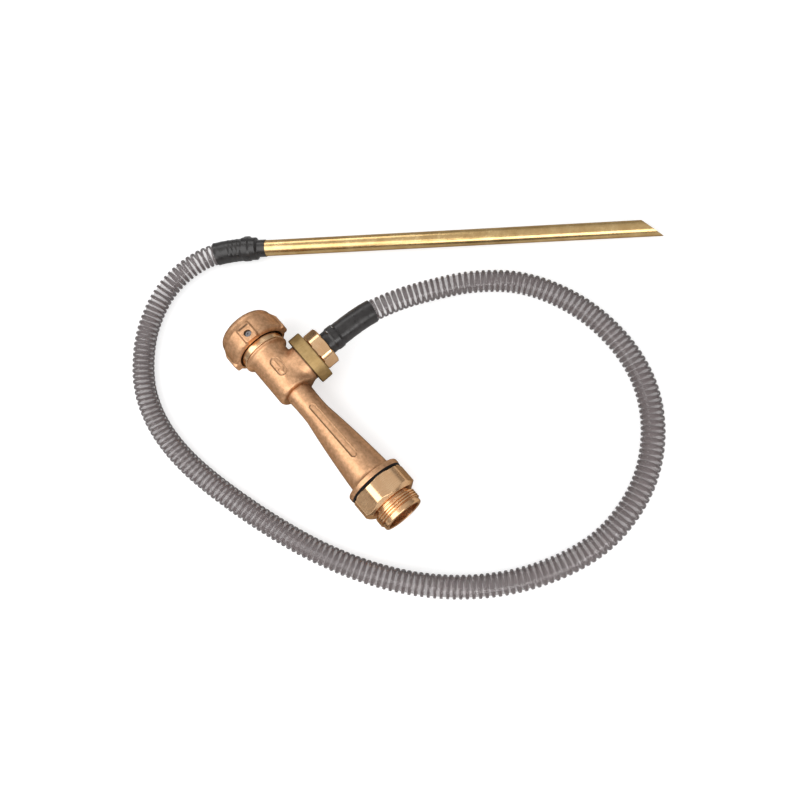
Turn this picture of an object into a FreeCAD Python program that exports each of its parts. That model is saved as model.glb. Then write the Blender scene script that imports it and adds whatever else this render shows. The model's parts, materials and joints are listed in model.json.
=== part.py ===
"""In-line Venturi eductor of cast bronze, with a clear suction hose and a brass pick-up tube.

Water enters at the swivel coupling, speeds up in the jet nozzle and draws liquid in at the side port.
The flow frame has X along the flow, from the centre of the inlet mouth, and Z up.
The port frame has X along the side port, away from the flow axis.
The row frame has its origin at the centre of the inlet mouth and Z square to the table. The eductor
lies on a lug of the swivel and on the outlet's hexagon, so its flow axis dips a little along X.
"""

import FreeCAD, Part
import math
import os

import Sketcher
from FreeCAD import Placement, Rotation, Vector

SIZES = [
    # Swivel coupling, a turned and cast shell with four lugs.
    ("shell_length", 34.0, "swivel shell, mouth to back face"),
    ("shell_wall", 8.3, "shell outside the collar that it turns on, at its waist"),
    ("shell_mouth_drop", 1.8, "how much smaller the shell is behind its rounded nose"),
    ("shell_back_drop", 4.5, "how much smaller the shell is at its back face"),
    ("shell_cone", 13.0, "length of the cone at the mouth"),
    ("shell_back_round", 5.5, "length of the rounded back edge"),
    ("shell_nose", 8.0, "length of the rounded nose"),
    ("shell_rim", 0.3, "flat rim round the mouth"),
    ("female_r", 25.4, "wall of the female hose thread"),
    ("female_lead", 1.2, "bevel that leads into the female thread"),
    ("female_end", 15.5, "depth where the thread ends and the gasket's recess starts"),
    ("lug_start", 13.5, "front of the lugs"),
    ("lug_width", 16.0, "width of a lug across the shell"),
    ("lug_rise", 1.6, "flat top of a lug above the shell's waist"),
    ("lug_edge", 2.0, "rounding of a lug's top"),
    ("lug_count", 4, "lugs round the shell"),
    ("race_set", 5.0, "ball race behind the gasket"),
    ("ball_r", 3.175, "balls of the race"),
    ("race_play", 0.05, "gap between a ball and its groove"),
    ("ball_count", 25, "balls in the race"),
    ("fill_hole_r", 4.0, "hole that the balls go in through"),
    ("flat_drop", 0.7, "milled flat round the hole, below the lug's top"),
    ("flat_lip", 3.5, "lip that is left in front of the flat"),
    ("plug_sink", 3.4, "how far the plug lies below the lug's top"),
    ("plug_socket_r", 1.8, "driving socket in the plug, from its middle to a corner"),
    ("plug_socket_depth", 1.6, "depth of that socket"),
    # Inlet gasket.
    ("gasket_over", 1.5, "inlet gasket's outer radius beyond the thread's wall"),
    ("gasket_in_r", 19.6, "inlet gasket, inner radius"),
    ("gasket_thick", 4.8, "inlet gasket, thickness"),
    ("gasket_play", 0.2, "play of the gasket in its recess"),
    # Inlet tailpiece.
    ("collar_r", 26.5, "bright collar and race of the tailpiece"),
    ("collar_show", 8.0, "collar between shell and body"),
    ("tail_wall", 7.45, "wall of the tailpiece in its collar"),
    ("spigot_step", 6.7, "step from the collar down to the spigot screwed into the body"),
    ("spigot_length", 8.0, "length of the spigot"),
    ("spigot_wall", 3.0, "wall of the spigot at its end"),
    ("running_gap", 0.08, "radial gap between pieces that turn in each other"),
    ("seat_gap", 0.05, "gap between pieces that are seated in each other"),
    ("ring_section", 1.1, "section radius of the inlet's sealing ring"),
    # Body: bead, barrel, neck, diffuser and flange.
    ("bead_rise", 0.5, "cast bead at the inlet, above the collar"),
    ("bead_length", 2.2, "length of the bead"),
    ("hollow_length", 6.3, "length of the hollow behind the bead"),
    ("barrel_wall", 2.7, "suction chamber's outside beyond the spigot's socket"),
    ("barrel_length", 61.0, "bead and barrel together"),
    ("barrel_round", 4.5, "rounding of the barrel's end"),
    ("neck_start_r", 15.1, "neck beside the barrel"),
    ("neck_set", 21.0, "thinnest place of the neck, from the barrel"),
    ("neck_r", 14.4, "neck at its thinnest"),
    ("neck_run", 14.0, "from there to the start of the diffuser's flare"),
    ("flare_start_r", 14.6, "diffuser at the start of its flare"),
    ("flare_length", 88.5, "length of the flare"),
    ("flare_mid_r", 19.95, "diffuser half way along"),
    ("flare_wall", 2.9, "diffuser's outside beyond the outlet's socket"),
    ("flange_r", 32.0, "flange"),
    ("flange_fillet", 5.5, "hollow between diffuser and flange"),
    ("flange_thick", 6.0, "flange thickness"),
    ("flange_edge", 1.0, "rounding of the flange"),
    ("chamber_step", 2.3, "shoulder that the nozzle's flange is clamped against"),
    ("chamber_back", 10.0, "where the chamber narrows, before the barrel's end"),
    ("throat_set", 5.0, "start of the throat, past the barrel's end"),
    ("throat_r", 7.0, "throat"),
    ("throat_length", 20.0, "length of the throat"),
    ("outlet_bore_r", 18.0, "waterway at the end of the diffuser"),
    ("outlet_socket", 12.0, "depth of the socket for the outlet adapter"),
    ("outlet_step", 2.8, "wall of that socket beyond the waterway"),
    # Jet nozzle.
    ("nozzle_flange", 4.0, "thickness of the nozzle's flange"),
    ("nozzle_drop", 3.5, "nozzle behind its flange, below the flange"),
    ("nozzle_shank", 8.0, "straight length of the nozzle behind its flange"),
    ("nozzle_clear", 1.0, "nozzle's tip before the place where the chamber narrows"),
    ("nozzle_tip_wall", 2.2, "wall at the nozzle's tip"),
    ("jet_r", 5.0, "jet orifice"),
    ("jet_land", 4.0, "straight length of the orifice"),
    ("nozzle_ring_section", 0.9, "section radius of the nozzle's sealing ring"),
    # Outlet adapter.
    ("outlet_gasket_thick", 2.2, "outlet gasket, thickness"),
    ("outlet_gasket_in", 0.6, "outlet gasket's edge inside the flange's"),
    ("hex_flats", 57.0, "outlet hexagon across its flats"),
    ("hex_clock", 14.0, "turn of the hexagon's top corner from straight up, in degrees"),
    ("hex_length", 24.8, "outlet hexagon along the flow"),
    ("hex_bevel", 4.0, "bevel of the hexagon, along the flow"),
    ("hex_bevel_drop", 6.0, "bevel of the hexagon, across the flow"),
    ("relief_r", 21.5, "neck between hexagon and thread"),
    ("relief_length", 2.7, "length of that neck"),
    ("male_r", 25.27, "crest of the male hose thread"),
    ("male_length", 10.5, "length of the male thread"),
    ("male_bevel", 1.2, "bevel at the start of the male thread"),
    ("male_root_r", 23.0, "undercut after the thread"),
    ("undercut", 2.0, "length of the undercut"),
    ("pilot_r", 23.5, "plain lip in front of the thread"),
    ("pilot_length", 3.6, "length of the lip"),
    ("pilot_bevel", 1.0, "bevel of the lip's end"),
    ("lip_bore_r", 19.3, "waterway at the lip"),
    # Suction port.
    ("port_set", 38.5, "suction port, from the front of the body"),
    ("boss_r", 22.2, "boss of the port"),
    ("boss_rise", 6.0, "boss beyond the barrel, where it steps out to its thread"),
    ("boss_thread_r", 26.2, "thread for the union nut"),
    ("boss_thread", 6.5, "length of that thread, up to the port's face"),
    ("cage_length", 15.0, "length of the ball cage"),
    ("cage_step", 1.5, "width of the shoulder that carries the cage"),
    ("cage_room", 4.0, "bore that holds the cage, beyond the ball"),
    ("cage_wall", 1.6, "wall of the cage"),
    ("cage_rib", 3.0, "width of a cage rib"),
    ("cage_ribs", 3, "ribs in the cage"),
    ("cage_floor", 2.8, "thickness of the stop at the cage's end"),
    ("cage_stop_r", 4.2, "opening between the stop's fingers"),
    ("check_ball_r", 7.0, "check ball"),
    ("ball_travel", 6.0, "travel of the check ball"),
    ("seal_lap", 1.5, "soft seat's opening inside the ball's radius"),
    ("seal_ring_thick", 3.0, "thickness of the soft seat"),
    ("well_room", 2.1, "well for the ball and its soft seat, beyond the ball"),
    ("port_gasket_thick", 1.6, "union gasket, thickness"),
    ("port_gasket_in", 0.5, "union gasket's opening beyond the well"),
    # Union nut and hose tail.
    ("nut_wall", 3.7, "union nut's outside beyond its thread"),
    ("nut_skirt", 7.5, "nut's edge towards the body, from the port's face"),
    ("nut_lip", 2.7, "thickness of the nut's inward lip"),
    ("nut_catch", 1.8, "how far the lip reaches over the hose tail's flange"),
    ("nut_edge", 2.0, "rounding of the nut"),
    ("tail_flange_in", 0.7, "hose tail's flange inside the nut's thread"),
    ("tail_flange", 3.0, "thickness of that flange"),
    ("tail_neck_r", 20.0, "round neck inside the nut"),
    ("tail_hex_flats", 40.4, "hose tail's hexagon across its flats"),
    ("tail_hex_clear", 0.6, "gap between nut and hexagon"),
    ("tail_hex_length", 15.5, "hexagon, up to the shoulder that the hose meets"),
    ("tail_bevel", 1.5, "bevel of that hexagon"),
    ("barb_length", 25.0, "barbed spigot inside the hose"),
    ("barb_wall", 2.3, "wall of the spigot between its barbs"),
    ("barb_drop", 0.875, "spigot between its barbs, below the hose's bore"),
    ("barb_count", 4, "barbs on the spigot"),
    ("barb_lead", 4.0, "plain length of the spigot before its barbs"),
    # Hose, pick-up tube, clamps and shrunk sleeves.
    ("hose_r", 13.0, "hose, outside"),
    ("tube_r", 9.525, "pick-up tube, outside"),
    ("tube_wall", 1.2, "wall of the pick-up tube"),
    ("tube_length", 502.0, "pick-up tube, end to point"),
    ("tube_bevel", 25.3, "length of the tube's slanted end"),
    ("tube_insert", 25.0, "tube inside the hose"),
    ("clamp_start", 8.0, "clamp, from the hose's end"),
    ("clamp_width", 8.0, "width of a clamp's band"),
    ("clamp_thick", 0.7, "thickness of the band"),
    ("ear_width", 5.0, "clamp's pinched ear, round the hose"),
    ("ear_rise", 2.6, "how far the ear stands above the band"),
    ("near_ear_turn", -20.0, "turn of the ear beside the port from straight up, in degrees"),
    ("far_ear_turn", 90.0, "turn of the ear beside the pick-up tube, in degrees"),
    ("sleeve_wall", 0.7, "wall of a shrunk sleeve"),
    ("near_sleeve", 64.0, "sleeve beside the port"),
    ("far_sleeve", 50.5, "sleeve over the hose beside the pick-up tube"),
    ("far_sleeve_neck", 12.2, "the same sleeve on the bare tube"),
    ("far_sleeve_step", 2.0, "length of the step between them"),
    ("sleeve_lap", 0.5, "lap of the step's wall over the hose's end"),
    ("lying_gap", 0.1, "gap between the table and the hose that lies on it"),
]

# The hose as it lies, from its port to the pick-up tube: x, y and how far it is lifted off the table.
HOSE_ROUTE = [
    (88.5, 148, 12.9),
    (104.5, 190, 4.4),
    (129, 235, 0),
    (170, 275.5, 0),
    (231, 299.5, 0),
    (295, 302, 0),
    (352, 285, 0),
    (399, 246, 0),
    (429, 193, 0),
    (438, 123, 0),
    (409, 38, 0),
    (350, -35, 0),
    (266, -90, 0),
    (161, -128, 0),
    (55, -152, 0),
    (-25, -143, 0),
    (-84, -104, 0),
    (-117, -57, 0),
    (-126.5, -11, 0.8),
    (-115.6, 37.5, 1.78),
    (-84.5, 73.4, 1.3),
]
FIRST_RUN = 45.0
ARC_SHARE = 0.45

# Shares of the hollow behind the bead where its arc's middle lies.
HOLLOW_ALONG = 0.42
HOLLOW_UP = 0.27

# Shares of the shell's nose and of its back edge where their arcs' middles lie.
NOSE_ALONG = 0.37
NOSE_UP = 0.72
BACK_ALONG = 0.354
BACK_DOWN = 0.282

CORNER_PER_FLAT = 1 / math.sqrt(3)
ROUND_MIDDLE = 1 - math.sqrt(0.5)

doc = FreeCAD.newDocument("eductor")
sheet = doc.addObject("Spreadsheet::Sheet", "Size")


class Measure:
    """A length together with the expression that binds a feature to the sheet."""

    def __init__(self, value, text):
        self.value = value
        self.text = text

    def __add__(self, other):
        other = measure(other)
        return Measure(self.value + other.value, f"({self.text} + {other.text})")

    def __sub__(self, other):
        other = measure(other)
        return Measure(self.value - other.value, f"({self.text} - {other.text})")

    def __mul__(self, factor):
        return Measure(self.value * factor, f"({self.text} * {factor:.9f})")

    def __neg__(self):
        return self * -1


def measure(number):
    return number if isinstance(number, Measure) else Measure(number, f"{number:.9f}")


class Sizes:
    """The sheet's cells, read by their names."""

    def __init__(self, rows):
        for line, (alias, value, note) in enumerate(rows, 1):
            sheet.set(f"A{line}", note)
            sheet.set(f"B{line}", str(value))
            sheet.setAlias(f"B{line}", alias)
            setattr(self, alias, Measure(value, f"Size.{alias}"))


S = Sizes(SIZES)
doc.recompute()

NODES = []


def new_body(label, placement):
    body = doc.addObject("PartDesign::Body", label)
    body.Label = label
    body.Placement = placement
    NODES.append(body)
    return body


def origin_feature(body, role):
    return next(f for f in body.Origin.OriginFeatures if f.Role == role)


def new_sketch(body, plane, offset=None):
    sketch = body.newObject("Sketcher::SketchObject", f"{body.Label}_outline")
    sketch.AttachmentSupport = (origin_feature(body, plane), [""])
    sketch.MapMode = "FlatFace"
    if offset:
        sketch.AttachmentOffset = offset
    return sketch


def draw(sketch, corners):
    """Closed outline through corners (x, y). A corner (x, y, mx, my) is reached by an arc through (mx, my)."""
    ends = [(measure(c[0]), measure(c[1])) for c in corners]
    finish = []
    for i, corner in enumerate(corners):
        start = Vector(ends[i - 1][0].value, ends[i - 1][1].value, 0)
        end = Vector(ends[i][0].value, ends[i][1].value, 0)
        if len(corner) == 2:
            sketch.addGeometry(Part.LineSegment(start, end), False)
            finish.append(2)
            continue
        middle = Vector(measure(corner[2]).value, measure(corner[3]).value, 0)
        leftward = (middle - start).cross(end - start).z > 0
        # An arc of a sketch always runs anticlockwise, so a clockwise one is drawn from its end.
        arc = Part.Arc(start, middle, end) if leftward else Part.Arc(end, middle, start)
        sketch.addGeometry(arc, False)
        finish.append(2 if leftward else 1)
    for i in range(len(corners)):
        following = (i + 1) % len(corners)
        begin = 3 - finish[following]
        sketch.addConstraint(Sketcher.Constraint("Coincident", i, finish[i], following, begin))
        hold_point(sketch, i, finish[i], ends[i])
    for i, corner in enumerate(corners):
        if len(corner) > 2:
            middle = (measure(corner[2]), measure(corner[3]))
            point = sketch.addGeometry(Part.Point(Vector(middle[0].value, middle[1].value, 0)), True)
            sketch.addConstraint(Sketcher.Constraint("PointOnObject", point, 1, i))
            hold_point(sketch, point, 1, middle)


def hold_point(sketch, geometry, end, place):
    """Bind a point of the sketch to two measures from the sketch's origin."""
    for kind, value in zip(("DistanceX", "DistanceY"), place):
        number = sketch.addConstraint(Sketcher.Constraint(kind, -1, 1, geometry, end, value.value))
        sketch.setExpression(f"Constraints[{number}]", value.text)


def draw_circle(sketch, x, y, radius):
    """A circle about (x, y)."""
    x, y = measure(x), measure(y)
    sketch.addGeometry(Part.Circle(Vector(x.value, y.value, 0), Vector(0, 0, 1), radius.value), False)
    hold_point(sketch, 0, 3, (x, y))
    number = sketch.addConstraint(Sketcher.Constraint("Radius", 0, radius.value))
    sketch.setExpression(f"Constraints[{number}]", radius.text)


def turned(body, corners, cut=False, about="H_Axis", at=None):
    """Revolve an outline about the sketch's own axis, adding to the body or cutting it."""
    sketch = new_sketch(body, "XY_Plane")
    if at:
        sketch.AttachmentOffset = Placement(Vector(at.value, 0, 0), Rotation())
        sketch.setExpression("AttachmentOffset.Base.x", at.text)
    draw(sketch, corners)
    return revolve(body, sketch, cut, about)


def turned_round(body, x, y, radius, cut=False):
    """Revolve a circle about X: a ring of round section, or the groove for one."""
    sketch = new_sketch(body, "XY_Plane")
    draw_circle(sketch, x, y, radius)
    return revolve(body, sketch, cut, "H_Axis")


def revolve(body, sketch, cut, about):
    kind = "PartDesign::Groove" if cut else "PartDesign::Revolution"
    feature = body.newObject(kind, f"{body.Label}_turned")
    feature.Profile = sketch
    feature.ReferenceAxis = (sketch, [about])
    feature.Angle = 360
    doc.recompute()
    return feature


def hexagon(body, flats, start, length, clock):
    """A hexagonal prism along X, with a corner turned by clock degrees from straight up."""
    sketch = new_sketch(body, "YZ_Plane", Placement(Vector(0, 0, start.value), Rotation(Vector(0, 0, 1), clock)))
    sketch.setExpression("AttachmentOffset.Base.z", start.text)
    corner = flats * CORNER_PER_FLAT
    half = flats * 0.5
    draw(
        sketch,
        [
            (0, corner),
            (-half, corner * 0.5),
            (-half, -(corner * 0.5)),
            (0, -corner),
            (half, -(corner * 0.5)),
            (half, corner * 0.5),
        ],
    )
    return padded(body, sketch, length)


def padded(body, sketch, length, symmetric=False):
    feature = body.newObject("PartDesign::Pad", f"{body.Label}_pad")
    feature.Profile = sketch
    feature.Length = length.value
    feature.setExpression("Length", length.text)
    feature.Midplane = symmetric
    doc.recompute()
    return feature


def rounded(body, feature, radius, test):
    """Fillet the edges of the last feature that pass a test on their middle point."""
    names = []
    for number, edge in enumerate(feature.Shape.Edges, 1):
        if test(edge):
            names.append(f"Edge{number}")
    fillet = body.newObject("PartDesign::Fillet", f"{body.Label}_round")
    fillet.Base = (feature, names)
    fillet.Radius = radius.value
    fillet.setExpression("Radius", radius.text)
    doc.recompute()
    return fillet


def solid_node(label, shape, placement=None):
    node = doc.addObject("Part::Feature", label)
    node.Label = label
    node.Shape = shape
    if placement:
        node.Placement = placement
    NODES.append(node)
    return node


def middle_of(edge):
    return edge.valueAt((edge.FirstParameter + edge.LastParameter) / 2)


def off_axis(point):
    return math.hypot(point.y, point.z)


# Stations along the flow and radii about it, worked out from the sizes.
SHELL_WAIST_R = S.collar_r + S.shell_wall
SHELL_MOUTH_R = SHELL_WAIST_R - S.shell_mouth_drop
SHELL_BACK_R = SHELL_WAIST_R - S.shell_back_drop
SHELL_RIM_R = S.female_r + S.female_lead + S.shell_rim
LUG_R = SHELL_WAIST_R + S.lug_rise
GASKET_OUT_R = S.female_r + S.gasket_over
GASKET_BACK = S.female_end + S.gasket_play + S.gasket_thick
RACE_X = GASKET_BACK + S.race_set
TAIL_FACE = GASKET_BACK + S.seat_gap
TAIL_END = S.shell_length + S.collar_show
TAIL_BORE_R = S.collar_r - S.tail_wall
SPIGOT_R = S.collar_r - S.spigot_step
SPIGOT_END = TAIL_END + S.spigot_length
SPIGOT_BORE_R = SPIGOT_R - S.spigot_wall
INLET_RING_R = SPIGOT_R + S.ring_section + S.seat_gap
INLET_RING_X = TAIL_END + S.ring_section + S.seat_gap
NOZZLE_RING_X = SPIGOT_END + S.seat_gap + S.nozzle_flange * 0.5
NOZZLE_RING_R = SPIGOT_R - S.nozzle_ring_section
BARREL_R = SPIGOT_R + S.barrel_wall
BARREL_END = TAIL_END + S.barrel_length
CHAMBER_R = SPIGOT_R - S.chamber_step
CHAMBER_END = BARREL_END - S.chamber_back
NECK_X = BARREL_END + S.neck_set
FLARE_X = NECK_X + S.neck_run
FLARE_END = FLARE_X + S.flare_length
FLANGE_X = FLARE_END + S.flange_fillet
FLANGE_END = FLANGE_X + S.flange_thick
OUTLET_SOCKET_R = S.outlet_bore_r + S.outlet_step
FLARE_END_R = OUTLET_SOCKET_R + S.flare_wall
HEX_START = FLANGE_END + S.outlet_gasket_thick
HEX_END = HEX_START + S.hex_length

# Stations along the suction port and radii about it.
BOSS_END = BARREL_R + S.boss_rise
PORT_FACE = BOSS_END + S.boss_thread
CAGE_SEAT = PORT_FACE - S.cage_length
CAGE_R = S.check_ball_r + S.cage_room
SEAL_RING_R = S.check_ball_r - S.seal_lap
BALL_WELL_R = S.check_ball_r + S.well_room
NUT_THREAD_R = S.boss_thread_r + S.running_gap
NUT_R = S.boss_thread_r + S.nut_wall
TAIL_FLANGE_R = S.boss_thread_r - S.tail_flange_in
TAIL_FLANGE_X = PORT_FACE + S.port_gasket_thick
TAIL_FLANGE_END = TAIL_FLANGE_X + S.tail_flange
NUT_START = PORT_FACE - S.nut_skirt
NUT_LIP_X = TAIL_FLANGE_END + S.seat_gap * 2
NUT_END = NUT_LIP_X + S.nut_lip
TAIL_HEX_START = NUT_END + S.tail_hex_clear
TAIL_HEX_END = TAIL_HEX_START + S.tail_hex_length
SEAT_RISE = math.sqrt(S.check_ball_r.value**2 - SEAL_RING_R.value**2)
BALL_SHUT = CAGE_SEAT + S.cage_floor + S.check_ball_r + S.ball_travel + S.seat_gap
SEAL_X = BALL_SHUT + SEAT_RISE + S.seat_gap
HOSE_BORE_R = S.tube_r + S.seat_gap

# How the eductor lies: on the flat of its lowest lug and on the lowest corner of its outlet hexagon.
lug_contact = S.shell_length.value - S.lug_edge.value
hex_contact = HEX_END.value - S.hex_bevel.value
hex_low = S.hex_flats.value * CORNER_PER_FLAT * math.cos(math.radians(S.hex_clock.value))
DIP = math.atan2(LUG_R.value - hex_low, hex_contact - lug_contact)
AXIS_HEIGHT = LUG_R.value * math.cos(DIP) + lug_contact * math.sin(DIP)

FLOW = Placement(Vector(0, 0, 0), Rotation(Vector(0, 1, 0), math.degrees(DIP)))
PORT_X = TAIL_END + S.port_set
PORT = FLOW.multiply(Placement(Vector(PORT_X.value, 0, 0), Rotation(Vector(0, 0, 1), 90)))


def swivel_coupling():
    """Cast shell with a rounded, slightly conical nose, four flat-topped lugs and a turned inside."""
    body = new_body("swivel_coupling", FLOW)
    nose_y = SHELL_RIM_R + (SHELL_MOUTH_R - SHELL_RIM_R) * NOSE_UP
    back_x = S.shell_length - S.shell_back_round * BACK_ALONG
    turned(
        body,
        [
            (0, 0),
            (0, SHELL_RIM_R),
            (S.shell_nose, SHELL_MOUTH_R, S.shell_nose * NOSE_ALONG, nose_y),
            (S.shell_cone, SHELL_WAIST_R),
            (S.shell_length - S.shell_back_round, SHELL_WAIST_R),
            (S.shell_length, SHELL_BACK_R, back_x, SHELL_WAIST_R - S.shell_back_drop * BACK_DOWN),
            (S.shell_length, 0),
        ],
    )
    sketch = new_sketch(body, "XY_Plane")
    draw(
        sketch,
        [
            (S.lug_start, -(S.lug_width * 0.5)),
            (S.shell_length, -(S.lug_width * 0.5)),
            (S.shell_length, S.lug_width * 0.5),
            (S.lug_start, S.lug_width * 0.5),
        ],
    )
    lug = padded(body, sketch, LUG_R)
    pattern = body.newObject("PartDesign::PolarPattern", "lugs")
    pattern.Originals = [lug]
    pattern.Axis = (origin_feature(body, "X_Axis"), [""])
    pattern.Angle = 360
    pattern.Occurrences = int(S.lug_count.value)
    pattern.setExpression("Occurrences", S.lug_count.text)
    body.Tip = pattern
    doc.recompute()
    top = LUG_R.value - 0.01
    rounded(body, pattern, S.lug_edge, lambda e: off_axis(middle_of(e)) > top)
    flat = new_sketch(body, "XY_Plane", Placement(Vector(0, 0, (LUG_R - S.flat_drop).value), Rotation()))
    flat.setExpression("AttachmentOffset.Base.z", (LUG_R - S.flat_drop).text)
    draw(
        flat,
        [
            (S.lug_start + S.flat_lip, -S.lug_width),
            (S.shell_length + S.flat_lip, -S.lug_width),
            (S.shell_length + S.flat_lip, S.lug_width),
            (S.lug_start + S.flat_lip, S.lug_width),
        ],
    )
    milled = body.newObject("PartDesign::Pocket", "milled_flat")
    milled.Profile = flat
    milled.Reversed = True
    milled.Length = S.flat_lip.value
    milled.setExpression("Length", S.flat_lip.text)
    race_wall = S.collar_r + S.running_gap
    turned(
        body,
        [
            (0, 0),
            (0, S.female_r + S.female_lead),
            (S.female_lead, S.female_r),
            (S.female_end, S.female_r),
            (S.female_end, GASKET_OUT_R + S.gasket_play),
            (GASKET_BACK, GASKET_OUT_R + S.gasket_play),
            (GASKET_BACK, race_wall),
            (S.shell_length, race_wall),
            (S.shell_length, 0),
        ],
        cut=True,
    )
    race_groove(body)
    hole = new_sketch(body, "XY_Plane", Placement(Vector(RACE_X.value, 0, 0), Rotation()))
    hole.setExpression("AttachmentOffset.Base.x", RACE_X.text)
    draw_circle(hole, 0, 0, S.fill_hole_r)
    pocket = body.newObject("PartDesign::Pocket", "fill_hole")
    pocket.Profile = hole
    pocket.Reversed = True
    pocket.Length = LUG_R.value + 1
    pocket.setExpression("Length", f"{LUG_R.text} + 1")
    before = body.Shape.Volume
    doc.recompute()
    print("fill hole took", round(before - body.Shape.Volume), "mm3")


def race_groove(body):
    """Half-round groove for the balls, shared by the shell and the tailpiece."""
    race_r = S.collar_r + S.running_gap * 0.5
    turned_round(body, RACE_X, race_r, S.ball_r + S.race_play, cut=True)


def race_balls():
    race_r = S.collar_r.value + S.running_gap.value / 2
    balls = []
    count = int(S.ball_count.value)
    for i in range(count):
        turn = math.tau * (i + 0.5) / count
        centre = Vector(RACE_X.value, race_r * math.sin(turn), race_r * math.cos(turn))
        balls.append(Part.makeSphere(S.ball_r.value, centre))
    solid_node("race_balls", Part.makeCompound(balls), FLOW)


def race_plug():
    """Screw plug that closes the hole in the top lug, with a driving socket."""
    centre = RACE_X.value
    bottom = S.collar_r.value + S.running_gap.value / 2 + S.ball_r.value + S.race_play.value
    top = LUG_R.value - S.plug_sink.value
    plug = Part.makeCylinder(S.fill_hole_r.value - S.seat_gap.value, top - bottom, Vector(centre, 0, bottom))
    reach = S.plug_socket_r.value
    turns = [math.tau * k / 6 for k in range(7)]
    corners = [Vector(centre + reach * math.cos(a), reach * math.sin(a), top) for a in turns]
    socket = Part.Face(Part.makePolygon(corners)).extrude(Vector(0, 0, -S.plug_socket_depth.value))
    solid_node("race_plug", plug.cut(socket), FLOW)


def ring(label, placement, start, length, inner, outer):
    body = new_body(label, placement)
    turned(body, [(start, inner), (start + length, inner), (start + length, outer), (start, outer)])


def seal(label, placement, centre, middle_r, section):
    """A ring of round section."""
    turned_round(new_body(label, placement), centre, middle_r, section)


def inlet_tailpiece():
    """Turned tube: race and bright collar in front, spigot screwed into the body behind."""
    body = new_body("inlet_tailpiece", FLOW)
    turned(
        body,
        [
            (TAIL_FACE, TAIL_BORE_R),
            (TAIL_FACE, S.collar_r),
            (TAIL_END, S.collar_r),
            (TAIL_END, SPIGOT_R),
            (SPIGOT_END, SPIGOT_R),
            (SPIGOT_END, SPIGOT_BORE_R),
            (TAIL_END, TAIL_BORE_R),
        ],
    )
    race_groove(body)


def jet_nozzle():
    """Converging nozzle, clamped by its flange between the spigot and a shoulder of the body."""
    body = new_body("jet_nozzle", FLOW)
    flange_x = SPIGOT_END + S.seat_gap
    flange_end = flange_x + S.nozzle_flange
    nozzle_r = SPIGOT_R - S.nozzle_drop
    nozzle_tip = CHAMBER_END - S.nozzle_clear
    turned(
        body,
        [
            (flange_x, SPIGOT_BORE_R),
            (flange_x, SPIGOT_R),
            (flange_end, SPIGOT_R),
            (flange_end, nozzle_r),
            (flange_end + S.nozzle_shank, nozzle_r),
            (nozzle_tip, (S.jet_r + S.nozzle_tip_wall)),
            (nozzle_tip, S.jet_r),
            (nozzle_tip - S.jet_land, S.jet_r),
        ],
    )
    groove_floor = NOZZLE_RING_R - S.nozzle_ring_section - S.seat_gap
    groove_start = NOZZLE_RING_X - S.nozzle_ring_section - S.seat_gap
    groove_end = NOZZLE_RING_X + S.nozzle_ring_section + S.seat_gap
    turned(
        body,
        [
            (groove_start, groove_floor),
            (groove_start, SPIGOT_R + S.nozzle_ring_section),
            (groove_end, SPIGOT_R + S.nozzle_ring_section),
            (groove_end, groove_floor),
        ],
        cut=True,
    )


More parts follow.
